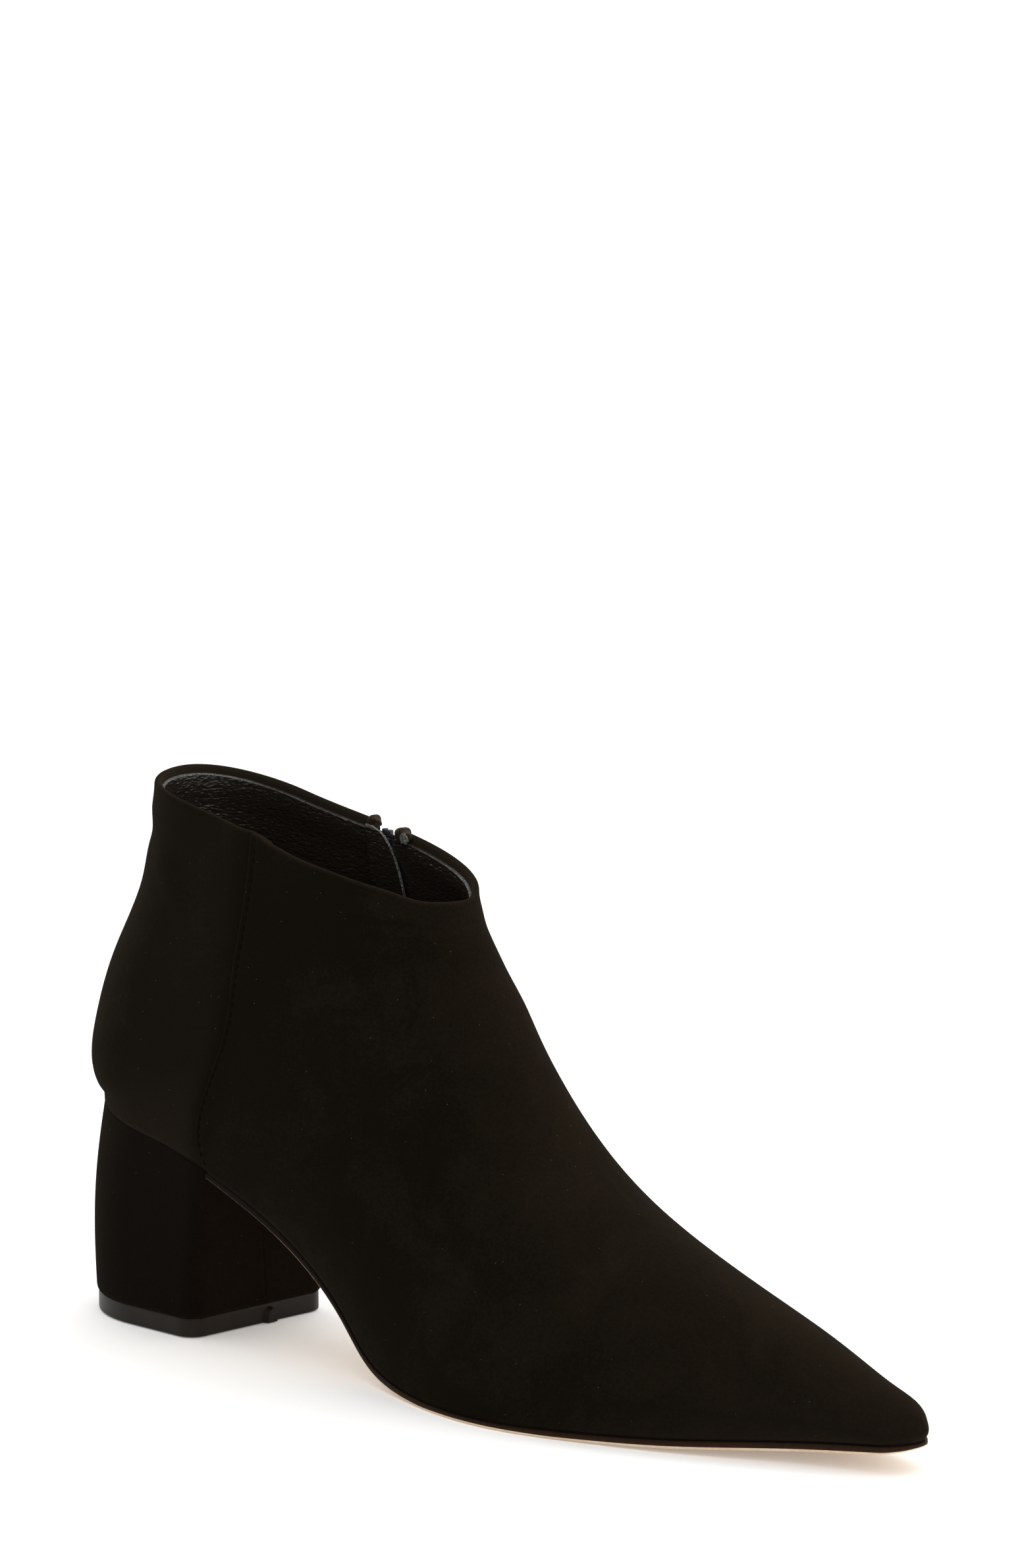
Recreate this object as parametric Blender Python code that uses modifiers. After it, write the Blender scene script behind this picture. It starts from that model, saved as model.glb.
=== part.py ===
"""Pointed-toe ankle bootie with a block heel, right shoe.

The shape is worked out on the shoe's last, as a fan of straight sections seen from the side. Each
section runs from a rear point, on the feather line or up the back seam, to a front point on the
ridge of toe, vamp and instep. x runs from heel to toe, +y is the inner (medial) side with the zip,
-y is the outer (lateral) side, and z is up from the floor. Tables are in millimetres.
"""

import math

import bmesh
import bpy
import numpy as np
from mathutils import Matrix

MM = 0.001
GAP = 0.3

# Wall of suede and lining, and how the last's outline is rounded off.
WALL = 2.0
NOSE_ROUND = 7.0
HEEL_ROUND = 27.0
GIRTH_AT = 0.4
COLLAR_COLUMNS = "middle swing".split()
COLLAR_RISE = {"lateral": (1.4, 0.7), "medial": (0.1, -1.0)}
SIDE_SIGN = {"lateral": -1.0, "medial": 1.0}

# One row for each section of the last, from the toe's nose to the collar. lateral and medial are
# the greatest half widths, and crown is the power that squares the top of the section.
SECTION_COLUMNS = "rear_x rear_z front_x front_z ridge_y lateral medial crown".split()
SECTIONS = {
    "nose": (262.7, 7.7, 264.2, 13.4, 12.2, 6.0, 6.0, 2.0),
    "tip": (255.5, 7.1, 257.0, 18.0, 12.0, 9.5, 9.5, 2.0),
    "toe": (246.0, 6.4, 247.0, 21.7, 11.5, 13.0, 13.0, 2.0),
    "toe_box": (228.0, 5.0, 228.0, 29.6, 10.5, 20.0, 20.0, 2.0),
    "vamp": (204.0, 3.1, 202.0, 39.2, 9.0, 28.5, 28.5, 1.9),
    "ball": (175.0, 1.9, 172.8, 52.7, 8.0, 36.0, 33.0, 1.85),
    "joint": (140.0, 1.5, 154.6, 69.2, 6.5, 36.0, 32.0, 1.85),
    "instep": (112.0, 5.1, 143.4, 84.2, 5.5, 33.5, 30.5, 2.0),
    "arch": (97.0, 18.1, 137.4, 94.2, 4.6, 32.0, 29.0, 2.2),
    "shank": (77.0, 34.3, 133.7, 101.5, 3.8, 31.0, 28.5, 2.5),
    "breast": (52.0, 47.1, 130.2, 107.6, 3.0, 30.0, 28.0, 2.8),
    "seat": (25.0, 55.6, 127.6, 112.6, 2.4, 29.0, 27.5, 3.2),
    "heel": (0.5, 62.0, 125.8, 116.6, 1.8, 28.5, 27.0, 3.6),
    "counter": (-2.6, 76.0, 124.4, 119.8, 1.2, 28.0, 26.0, 4.0),
    "ankle": (4.4, 99.0, 123.4, 122.6, 0.8, 26.5, 24.5, 4.5),
    "neck": (15.4, 122.0, 122.7, 125.0, 0.4, 25.0, 22.5, 5.0),
    "collar": (19.4, 149.0, 122.2, 127.0, 0.0, 24.0, 21.8, 6.0),
}
HEEL_ROW = list(SECTIONS).index("heel")
COLLAR_ROW = len(SECTIONS) - 1

# Outline of the feather line, where upper and sole meet, from the back of the heel to the toe.
PLAN_COLUMNS = "x lateral medial centre".split()
PLAN = [
    (-5.0, 26.0, 25.0, 0.0),
    (20.0, 26.0, 25.0, 0.0),
    (50.0, 25.0, 23.0, 0.5),
    (80.0, 23.5, 19.0, 2.0),
    (105.0, 25.0, 19.5, 3.0),
    (130.0, 32.0, 25.5, 4.0),
    (158.0, 35.5, 31.5, 5.0),
    (184.0, 31.0, 31.0, 7.0),
    (205.0, 25.0, 26.0, 8.5),
    (225.0, 17.5, 18.0, 10.0),
    (246.0, 10.5, 10.5, 11.5),
    (264.0, 6.0, 6.0, 12.0),
]

# Grid of the upper: strips in each section-to-section interval, and columns on each side.
STRIPS = {"nose": 5, "seat": 6, "heel": 4, "neck": 4}
STRIPS_ELSEWHERE = 3
COLUMNS = 14

# Sole of leather, thinner in the waist, with a chamfer along the bottom edge.
SOLE_COLUMNS = "x thick".split()
SOLE = [(50.0, 1.2), (75.0, 1.4), (110.0, 1.3), (145.0, 1.3), (175.0, 1.6), (204.0, 1.9), (265.0, 2.0)]
SOLE_PROUD = 0.4
SOLE_CHAMFER, SOLE_CHAMFER_IN = 0.6, 0.5
SOLE_STATIONS = 60
INSOLE_THICK = 1.8
INSOLE_CLEAR = 0.5

# Block heel: rows go up from the top piece to the seat, breast leaning forward as it rises.
HEEL_COLUMNS = "share back breast_lateral breast_medial lateral medial round".split()
HEEL = [
    (0.0, -5.2, 45.3, 49.4, 22.8, 25.2, 25.0),
    (0.3, -5.4, 47.5, 51.2, 23.4, 24.8, 25.0),
    (0.6, -4.1, 49.8, 53.0, 24.2, 24.4, 26.0),
    (1.0, 0.3, 52.8, 55.6, 25.4, 23.9, 27.0),
]
HEEL_RINGS = 9
HEEL_STATIONS = 13
HEEL_CORNER = 5.5
LIFT_THICK = 5.0
LIFT_INSET = 0.4
LIFT_CHAMFER = 0.4

# Zip on the medial side: place of its top and bottom ends, the widths across it and the depths
# under the suede's surface. Tapes and chain start a little below the collar's edge.
ZIP_TOP_X = 76.0
ZIP_BOTTOM_X = 80.0
ZIP_BOTTOM_Z = 58.0
SLOT_HALF = 3.6
SLOT_ABOVE, SLOT_OUT, SLOT_THROUGH = 8.0, 4.0, 10.0
TAPE_INNER, TAPE_OUTER = 1.9, 3.3
TAPE_DEEP, TAPE_THICK = 0.8, 0.8
TAPE_FROM = 1.5
CHAIN_HALF = 1.6
CHAIN_DEEP, CHAIN_THICK = 0.4, 1.6
CHAIN_FROM = 3.0
TAPE_END_CLEAR, CHAIN_END_CLEAR = 1.0, 2.0
ZIP_STATIONS = 16
ZIP_LAST_ROW = HEEL_ROW - 2.8
TANGENT_STEP = 0.4

# Slider and pull tab, along the zip from the collar's edge and out from the suede's surface.
SLIDER_AT = 8.5
SLIDER_LONG, SLIDER_HALF, SLIDER_LOW, SLIDER_TOP = 9.5, 3.0, 0.3, 1.2
BRIDGE_LONG, BRIDGE_HALF, BRIDGE_TALL, BRIDGE_BAR = 7.0, 0.8, 3.2, 0.9
PIVOT_OUT, PIVOT_HALF = 2.4, 0.6
ARM_INNER, ARM_OUTER, ARM_LONG = 1.2, 2.2, 6.2
TAB_LONG, TAB_HALF, TAB_THICK, TAB_SHOULDER = 20.0, 2.9, 1.2, 2.0
TAB_HOLE_RADIUS, TAB_HOLE_CUT = 1.3, 6.0
JOIN = 0.3
METAL = {"colour": (0.25, 0.25, 0.26), "roughness": 0.3, "metallic": 1.0}
SUEDE = {"colour": (0.007, 0.006, 0.005), "roughness": 0.9}


def spline(knots, values, at):
    """Natural cubic spline through the values at the knots, read at any points."""
    knots = np.asarray(knots, float)
    values = np.asarray(values, float)
    at = np.clip(np.asarray(at, float), knots[0], knots[-1])
    step = np.diff(knots)
    system = np.eye(len(knots))
    right = np.zeros(len(knots))
    for i in range(1, len(knots) - 1):
        system[i, i - 1 : i + 2] = step[i - 1], 2 * (step[i - 1] + step[i]), step[i]
        slopes = (values[i + 1] - values[i]) / step[i], (values[i] - values[i - 1]) / step[i - 1]
        right[i] = 6 * (slopes[0] - slopes[1])
    bend = np.linalg.solve(system, right)
    i = np.clip(np.searchsorted(knots, at) - 1, 0, len(step) - 1)
    before = at - knots[i]
    after = knots[i + 1] - at
    cubic = (bend[i] * after**3 + bend[i + 1] * before**3) / (6 * step[i])
    low = (values[i] / step[i] - bend[i] * step[i] / 6) * after
    high = (values[i + 1] / step[i] - bend[i + 1] * step[i] / 6) * before
    return cubic + low + high


def section(column, s):
    """A column of the section table at the section number s, between rows too."""
    values = [row[SECTION_COLUMNS.index(column)] for row in SECTIONS.values()]
    return spline(range(len(values)), values, s)


def read(table, columns, column, at):
    """A column of a table against its first column."""
    rows = np.array(table)
    return spline(rows[:, 0], rows[:, columns.index(column)], at)


def ease(share):
    """Rises from 0 to 1 with level ends."""
    share = np.clip(share, 0, 1)
    return share**2 * (3 - 2 * share)


def quarter_round(distance, radius):
    """Rises from 0 to 1 along a quarter ellipse as the distance grows to the radius."""
    left = 1 - np.clip(distance / radius, 0, 1)
    return np.sqrt(1 - left**2)


BACK_ROWS = np.linspace(HEEL_ROW, COLLAR_ROW, 200)
BACK_X = section("rear_x", BACK_ROWS)
BACK_Z = section("rear_z", BACK_ROWS)
FEATHER_ROWS = np.linspace(0, HEEL_ROW, 400)
FEATHER_X = section("rear_x", FEATHER_ROWS)
FEATHER_Z = section("rear_z", FEATHER_ROWS)


def feather_z(x):
    return np.interp(x, FEATHER_X[::-1], FEATHER_Z[::-1])


def feather_row(x):
    return np.interp(x, FEATHER_X[::-1], FEATHER_ROWS[::-1])


def last_point(s, q, side):
    """Outside of the upper on section s, the share q of the way from its rear to its front point.

    The half width starts at the feather line's, fills out to the section's own, closes over the
    ridge as a rounded crown, and is rounded off at the back of the heel and at the nose. Up the
    shaft the section bends by half a sine wave times the collar's middle rise and a whole one times
    its swing.
    """
    s, q = np.broadcast_arrays(np.asarray(s, float), np.asarray(q, float))
    rear_x = section("rear_x", s)
    rear_z = section("rear_z", s)
    x = rear_x + q * (section("front_x", s) - rear_x)
    above_heel = ease((s - HEEL_ROW + 1) / (COLLAR_ROW - HEEL_ROW + 1))
    z = rear_z + q * (section("front_z", s) - rear_z)
    middle, swing = COLLAR_RISE[side]
    z = z + above_heel * (middle * np.sin(np.pi * q) + swing * np.sin(2 * np.pi * q))
    girth = section(side, s)
    base = read(PLAN, PLAN_COLUMNS, side, rear_x)
    base = base + (girth - base) * ease(s - HEEL_ROW)
    filled = 1 - np.clip(1 - q / GIRTH_AT, 0, 1) ** 2
    crown = np.sqrt(np.clip(1 - q ** section("crown", s), 0, None))
    on_back_seam = (q == 0) & (s >= HEEL_ROW)
    from_back = np.where(on_back_seam, 0, x - np.interp(z, BACK_Z, BACK_X))
    half = (base + (girth - base) * filled) * crown
    half = half * quarter_round(from_back, HEEL_ROUND)
    half = half * quarter_round(FEATHER_X[0] - rear_x, NOSE_ROUND)
    centre = (1 - q) * read(PLAN, PLAN_COLUMNS, "centre", rear_x) + q * section("ridge_y", s)
    return np.stack([x, centre + SIDE_SIGN[side] * half, z], axis=-1)


def feather_outline(side, from_x, proud, count):
    """Feather line in plan from the nose to from_x, moved outwards by proud, closer set at its ends."""
    share = (1 - np.cos(np.linspace(0, np.pi, count))) / 2
    x = FEATHER_X[0] + share * (from_x - FEATHER_X[0])
    line = last_point(feather_row(x), 0.0, side)[:, :2]
    along = np.gradient(line, axis=0)
    along[0] = (0.0, SIDE_SIGN[side])
    if from_x <= FEATHER_X[-1]:
        along[-1] = (0.0, -SIDE_SIGN[side])
    outward = np.stack([along[:, 1], -along[:, 0]], axis=1) * SIDE_SIGN[side]
    return line + proud * outward / np.linalg.norm(outward, axis=1, keepdims=True)


def add_object(name, points, faces, colour, roughness=0.6, metallic=0.0):
    """Mesh object from points in millimetres, with coinciding points welded and its own material."""
    mesh = bpy.data.meshes.new(name)
    mesh.from_pydata((np.asarray(points) * MM).tolist(), [], faces)
    shape = bmesh.new()
    shape.from_mesh(mesh)
    bmesh.ops.remove_doubles(shape, verts=shape.verts, dist=0.002 * MM)
    shape.to_mesh(mesh)
    shape.free()
    mesh.shade_smooth()
    mesh.set_sharp_from_angle(angle=math.radians(35))
    material = bpy.data.materials.new(name)
    material.use_nodes = True
    surface = material.node_tree.nodes["Principled BSDF"]
    surface.inputs["Base Color"].default_value = (*colour, 1.0)
    surface.inputs["Roughness"].default_value = roughness
    surface.inputs["Metallic"].default_value = metallic
    mesh.materials.append(material)
    item = bpy.data.objects.new(name, mesh)
    parts.objects.link(item)
    item.parent = shoe
    return item


def grid_faces(rows, columns, closed=False):
    """Quads of a grid whose points are listed row by row; closed joins the last column to the first."""
    faces = []
    for i in range(rows - 1):
        for j in range(columns if closed else columns - 1):
            k = (j + 1) % columns
            faces.append((i * columns + j, i * columns + k, (i + 1) * columns + k, (i + 1) * columns + j))
    return faces


def loft(rings, flip=False):
    """Points and faces of a closed body through rings of equal count, with both end rings filled."""
    count, around = rings.shape[:2]
    faces = grid_faces(count, around, closed=True)
    faces.append(tuple(range(around))[::-1])
    faces.append(tuple(range((count - 1) * around, count * around)))
    if flip:
        faces = [face[::-1] for face in faces]
    return rings.reshape(-1, 3), faces


def strip_solid(inner, outer):
    """Closed body between two grids of points, the outer one facing out."""
    return loft(np.concatenate([outer, inner[:, ::-1]], axis=1))


def section_rows():
    """Section numbers of the upper's grid lines, closer set beside the nose and the back of the seat."""
    rows = []
    for i, name in enumerate(list(SECTIONS)[:-1]):
        count = STRIPS.get(name, STRIPS_ELSEWHERE)
        share = np.arange(count) / count
        if name in ("nose", "heel"):
            share = share**2
        if i == HEEL_ROW - 1:
            share = 1 - (1 - share) ** 2
        rows.append(i + share)
    return np.concatenate([*rows, [COLLAR_ROW]])


def make_upper():
    """Suede upper with its lining: one wall, open at the collar and along the feather line."""
    rows = section_rows()[:, None]
    across = (1 - np.cos(np.linspace(0, np.pi, COLUMNS + 1))) / 2
    lateral = last_point(rows, across, "lateral")
    medial = last_point(rows, across[-2::-1], "medial")
    grid = np.concatenate([lateral, medial], axis=1)
    upper = add_object("upper", grid.reshape(-1, 3), grid_faces(*grid.shape[:2]), **SUEDE)
    wall = upper.modifiers.new("wall", "SOLIDIFY")
    wall.thickness = WALL * MM
    wall.offset = -1.0
    wall.use_even_offset = True
    slot = upper.modifiers.new("zip slot", "BOOLEAN")
    slot.operation = "DIFFERENCE"
    slot.object = make_slot_cutter()
    return upper


def plate_rings(from_lateral, from_medial, proud, levels, stations):
    """Rings across a plate that follows the feather line from the nose back to the two given x.

    levels lists, from the top edge down, the height under the plate's top and the inset of each
    corner; heights are given as functions of x.
    """
    sides = []
    for side, from_x in (("lateral", from_lateral), ("medial", from_medial)):
        corners = []
        for height, inset in levels:
            line = feather_outline(side, from_x, proud - inset, stations)
            corners.append(np.column_stack([line, height(line[:, 0])]))
        sides.append(corners)
    ring = sides[0] + sides[1][::-1]
    return np.stack(ring, axis=1)


def make_outsole():
    """Leather outsole from the nose to the heel's breast, flat under the ball, chamfered below."""

    def top(x):
        return feather_z(x) - GAP

    def bottom(x):
        return np.maximum(top(x) - read(SOLE, SOLE_COLUMNS, "thick", x), 0.0)

    def chamfer_top(x):
        return bottom(x) + SOLE_CHAMFER

    breast_lateral, breast_medial = HEEL[-1][2] + 2 * GAP, HEEL[-1][3] + 2 * GAP
    levels = [(top, 0.0), (chamfer_top, 0.0), (bottom, SOLE_CHAMFER_IN)]
    rings = plate_rings(breast_lateral, breast_medial, SOLE_PROUD, levels, SOLE_STATIONS)
    return add_object("outsole", *loft(rings, flip=True), (0.03, 0.018, 0.011), 0.5)


def make_insole():
    """Insole board inside the upper's wall, from nose to heel, resting on outsole and heel."""

    def bottom(x):
        return feather_z(x)

    def top(x):
        return feather_z(x) + INSOLE_THICK

    inside = -(WALL + INSOLE_CLEAR)
    levels = [(top, 0.0), (bottom, 0.0)]
    rings = plate_rings(FEATHER_X[-1], FEATHER_X[-1], inside, levels, SOLE_STATIONS)
    return add_object("insole", *loft(rings, flip=True), (0.012, 0.011, 0.010), 0.6)


def heel_ring(share, inset):
    """Outline of the heel at a share of its height: round behind, straight across the breast."""
    row = {name: read(HEEL, HEEL_COLUMNS, name, share) for name in HEEL_COLUMNS[1:]}
    along = np.linspace(0, 1, HEEL_STATIONS)
    sides = []
    for side in ("lateral", "medial"):
        front = row["breast_" + side] - inset
        back = row["back"] + inset
        x = back + (front - back) * (1 - np.cos(np.pi * along)) / 2
        half = row[side] - inset
        corner = HEEL_CORNER * (1 - quarter_round(front - x, HEEL_CORNER))
        y = SIDE_SIGN[side] * (half - corner) * quarter_round(x - back, row["round"])
        sides.append(np.column_stack([x, y]))
    lateral, medial = sides
    return np.concatenate([lateral[::-1], medial[1:]])


def make_heel():
    """Block heel covered in suede; its top follows the seat and its foot meets the top piece."""
    foot = LIFT_THICK + GAP
    rings = []
    for share in np.linspace(0, 1, HEEL_RINGS):
        outline = heel_ring(share, 0.0)
        height = foot + share * (feather_z(outline[:, 0]) - GAP - foot)
        rings.append(np.column_stack([outline, height]))
    rings = np.array(rings)
    count, around = rings.shape[:2]
    faces = grid_faces(count, around, closed=True)
    last = (count - 1) * around
    for j in range(HEEL_STATIONS - 1):
        faces.append((last + j, last + around - 1 - j, last + around - 2 - j, last + j + 1)[::-1])
        faces.append((j, around - 1 - j, around - 2 - j, j + 1))
    faces = [face[::-1] for face in faces]
    return add_object("heel", rings.reshape(-1, 3), faces, **SUEDE)


def make_heel_lift():
    """Rubber top piece under the heel, a little smaller than the heel's foot."""
    rings = []
    for z, inset in ((0.0, LIFT_CHAMFER), (LIFT_CHAMFER, 0.0), (LIFT_THICK, 0.0)):
        outline = heel_ring(0.0, LIFT_INSET + inset)
        rings.append(np.column_stack([outline, np.full(len(outline), z)]))
    return add_object("heel_lift", *loft(np.array(rings), flip=True), (0.02, 0.019, 0.018), 0.45)


ZIP_ROWS = np.linspace(COLLAR_ROW, ZIP_LAST_ROW, 400)


def on_medial_wall(s, x):
    """Point of the medial wall on section s at the given x."""
    rear_x = section("rear_x", s)
    share = (x - rear_x) / (section("front_x", s) - rear_x)
    return last_point(s, np.clip(share, 0, 1), "medial")


ZIP_FALL = np.linspace(0, 1, len(ZIP_ROWS))
ZIP_LINE = on_medial_wall(ZIP_ROWS, ZIP_TOP_X + (ZIP_BOTTOM_X - ZIP_TOP_X) * ZIP_FALL)
ZIP_RUN = np.concatenate([[0], np.cumsum(np.linalg.norm(np.diff(ZIP_LINE, axis=0), axis=1))])
ZIP_LONG = float(np.interp(-ZIP_BOTTOM_Z, -ZIP_LINE[:, 2], ZIP_RUN))


def zip_point(run, across, deep):
    """Point at a run down the zip from the collar, across it towards the toe, and deep in the wall.

    Above the collar the zip's line goes straight on, so that the slot's cutter can pass the edge.
    """
    run, across = np.broadcast_arrays(np.asarray(run, float), np.asarray(across, float))

    def surface(v, u):
        s = np.interp(v, ZIP_RUN, ZIP_ROWS)
        x = ZIP_TOP_X + (ZIP_BOTTOM_X - ZIP_TOP_X) * np.interp(v, ZIP_RUN, ZIP_FALL)
        return on_medial_wall(s, x + u)

    inside = np.clip(run, TANGENT_STEP, None)
    down = surface(inside + TANGENT_STEP, across) - surface(inside - TANGENT_STEP, across)
    down = down / np.linalg.norm(down, axis=-1, keepdims=True)
    toward_toe = surface(inside, across + TANGENT_STEP) - surface(inside, across - TANGENT_STEP)
    outward = np.cross(toward_toe, down)
    outward = outward / np.linalg.norm(outward, axis=-1, keepdims=True)
    point = surface(inside, across) + (run - inside)[..., None] * down
    return point - deep * outward


def zip_strip(from_run, to_run, from_across, to_across, deep, thick, columns=2):
    """Closed strip of the medial wall, from deep under its surface to deep + thick."""
    run = np.linspace(from_run, to_run, ZIP_STATIONS)[:, None]
    across = np.linspace(from_across, to_across, columns)
    return strip_solid(zip_point(run, across, deep + thick), zip_point(run, across, deep))


def make_slot_cutter():
    """Cutter of the zip's slot, longer than the wall is thick and standing above the collar."""
    slot = zip_strip(-SLOT_ABOVE, ZIP_LONG, -SLOT_HALF, SLOT_HALF, -SLOT_OUT, SLOT_THROUGH)
    cutter = add_object("slot_cutter", *slot, **SUEDE)
    parts.objects.unlink(cutter)
    cutters.objects.link(cutter)
    cutter.hide_render = True
    cutter.display_type = "WIRE"
    return cutter


def make_zip():
    """Closed zip in its slot: a tape along each edge and the chain of teeth between them."""
    tape_end = ZIP_LONG - TAPE_END_CLEAR
    for name, sign in (("zip_tape_rear", -1), ("zip_tape_front", 1)):
        edges = sorted((sign * TAPE_INNER, sign * TAPE_OUTER))
        tape = zip_strip(TAPE_FROM, tape_end, *edges, TAPE_DEEP, TAPE_THICK)
        add_object(name, *tape, (0.012, 0.012, 0.013), 0.8)
    chain_end = ZIP_LONG - CHAIN_END_CLEAR
    chain = zip_strip(CHAIN_FROM, chain_end, -CHAIN_HALF, CHAIN_HALF, CHAIN_DEEP, CHAIN_THICK)
    add_object("zip_chain", *chain, (0.02, 0.02, 0.022), 0.5)


def make_slider_seat():
    """Empty on the zip's surface at the slider: local x to the heel, y up the zip, z outwards."""
    here = zip_point(SLIDER_AT, 0.0, 0.0)
    below = zip_point(SLIDER_AT + TAB_LONG, 0.0, 0.0)
    up = (here - below) / np.linalg.norm(here - below)
    toward_toe = zip_point(SLIDER_AT, TANGENT_STEP, 0.0) - here
    outward = np.cross(up, toward_toe)
    outward = outward / np.linalg.norm(outward)
    place = np.eye(4)
    place[:3, :3] = np.column_stack([np.cross(up, outward), up, outward])
    place[:3, 3] = here * MM
    seat = bpy.data.objects.new("slider_seat", None)
    parts.objects.link(seat)
    seat.parent = shoe
    seat.matrix_local = Matrix(place.tolist())
    return seat


def block(low, high):
    """Points and faces of a box between two corners."""
    shape = bmesh.new()
    bmesh.ops.create_cube(shape, size=1.0)
    middle = (np.add(low, high)) / 2
    points = [np.array(v.co) * np.subtract(high, low) + middle for v in shape.verts]
    faces = [[v.index for v in face.verts] for face in shape.faces]
    shape.free()
    return np.array(points), faces


def union(item, others):
    """Joins the other objects into the item and removes them."""
    for other in others:
        join = item.modifiers.new(other.name, "BOOLEAN")
        join.operation = "UNION"
        join.object = other
    graph = bpy.context.evaluated_depsgraph_get()
    whole = bpy.data.meshes.new_from_object(item.evaluated_get(graph))
    item.modifiers.clear()
    item.data = whole
    for other in others:
        bpy.data.objects.remove(other)


def make_slider(seat):
    """Metal slider: a plate over the chain with a bridge along it that holds the pull tab."""
    half_long = SLIDER_LONG / 2
    plate = block((-SLIDER_HALF, -half_long, SLIDER_LOW), (SLIDER_HALF, half_long, SLIDER_TOP))
    slider = add_object("zip_slider", *plate, **METAL)
    half = BRIDGE_LONG / 2
    foot = SLIDER_TOP - JOIN
    bar = SLIDER_TOP + BRIDGE_TALL - BRIDGE_BAR
    pieces = [
        block((-BRIDGE_HALF, -half, foot), (BRIDGE_HALF, -half + BRIDGE_BAR, bar + JOIN)),
        block((-BRIDGE_HALF, half - BRIDGE_BAR, foot), (BRIDGE_HALF, half, bar + JOIN)),
        block((-BRIDGE_HALF, -half, bar), (BRIDGE_HALF, half, bar + BRIDGE_BAR)),
    ]
    bridge = [add_object(f"bridge_{i}", *piece, **METAL) for i, piece in enumerate(pieces)]
    for item in [slider, *bridge]:
        item.parent = seat
    bpy.context.view_layer.update()
    union(slider, bridge)


def make_pull(seat):
    """Pull tab hanging from the bridge: a pivot bar, two arms beside the bridge and a flat tab."""
    axis = bpy.data.objects.new("pull_axis", None)
    parts.objects.link(axis)
    axis.parent = seat
    axis.location = (0.0, 0.0, PIVOT_OUT * MM)
    thick = TAB_THICK / 2
    end = -(ARM_LONG + TAB_LONG - TAB_HALF)
    pieces = [
        block((-ARM_OUTER, -ARM_LONG, -thick), (-ARM_INNER, PIVOT_HALF, thick)),
        block((ARM_INNER, -ARM_LONG, -thick), (ARM_OUTER, PIVOT_HALF, thick)),
        block(
            (-ARM_OUTER + JOIN, -PIVOT_HALF, -PIVOT_HALF), (ARM_OUTER - JOIN, PIVOT_HALF, PIVOT_HALF)
        ),
    ]
    neck = -ARM_LONG + JOIN
    shoulder = -ARM_LONG - TAB_SHOULDER
    turn = np.linspace(np.pi, 2 * np.pi, 13)
    tip = np.column_stack([TAB_HALF * np.cos(turn), end + TAB_HALF * np.sin(turn)])
    outline = np.vstack(
        [(ARM_OUTER, neck), (-ARM_OUTER, neck), (-TAB_HALF, shoulder), tip, (TAB_HALF, shoulder)]
    )
    rings = np.array([np.column_stack([outline, np.full(len(outline), z)]) for z in (-thick, thick)])
    pull = add_object("zip_pull", *loft(rings), **METAL)
    arms = [add_object(f"arm_{i}", *piece, **METAL) for i, piece in enumerate(pieces)]
    for item in [pull, *arms]:
        item.parent = axis
    bpy.context.view_layer.update()
    union(pull, arms)
    shape = bmesh.new()
    radius = TAB_HOLE_RADIUS * MM
    bmesh.ops.create_cone(
        shape,
        cap_ends=True,
        segments=20,
        radius1=radius,
        radius2=radius,
        depth=TAB_HOLE_CUT * MM,
    )
    mesh = bpy.data.meshes.new("hole_cutter")
    shape.to_mesh(mesh)
    shape.free()
    hole = bpy.data.objects.new("hole_cutter", mesh)
    cutters.objects.link(hole)
    hole.parent = axis
    hole.location = (0.0, end * MM, 0.0)
    hole.hide_render = True
    hole.display_type = "WIRE"
    cut = pull.modifiers.new("hole", "BOOLEAN")
    cut.operation = "DIFFERENCE"
    cut.object = hole


def stand_on_origin():
    """Moves the shoe so that the floor under the middle of its box is the origin."""
    bpy.context.view_layer.update()
    graph = bpy.context.evaluated_depsgraph_get()
    corners = []
    for item in parts.objects:
        if item.type == "MESH":
            whole = item.evaluated_get(graph)
            corners += [whole.matrix_world @ v.co for v in whole.data.vertices]
    corners = np.array(corners)
    middle = (corners.min(axis=0) + corners.max(axis=0)) / 2
    shoe.location = (-middle[0], -middle[1], -corners[:, 2].min())


for item in list(bpy.data.objects):
    bpy.data.objects.remove(item)
parts = bpy.data.collections.new("pointed_toe_bootie")
cutters = bpy.data.collections.new("cutters")
for collection in (parts, cutters):
    bpy.context.scene.collection.children.link(collection)
shoe = bpy.data.objects.new("bootie", None)
parts.objects.link(shoe)

make_upper()
make_outsole()
make_insole()
make_heel()
make_heel_lift()
make_zip()
slider_seat = make_slider_seat()
make_slider(slider_seat)
make_pull(slider_seat)
stand_on_origin()
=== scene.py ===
"""Pointed-toe ankle bootie in black suede with a block heel, right shoe.

Sizes are in millimetres on the shoe's last: x runs from heel to toe, +y is the inner (medial) side
with the zip, -y the outer (lateral) side, and z is up from the floor.
"""

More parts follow.
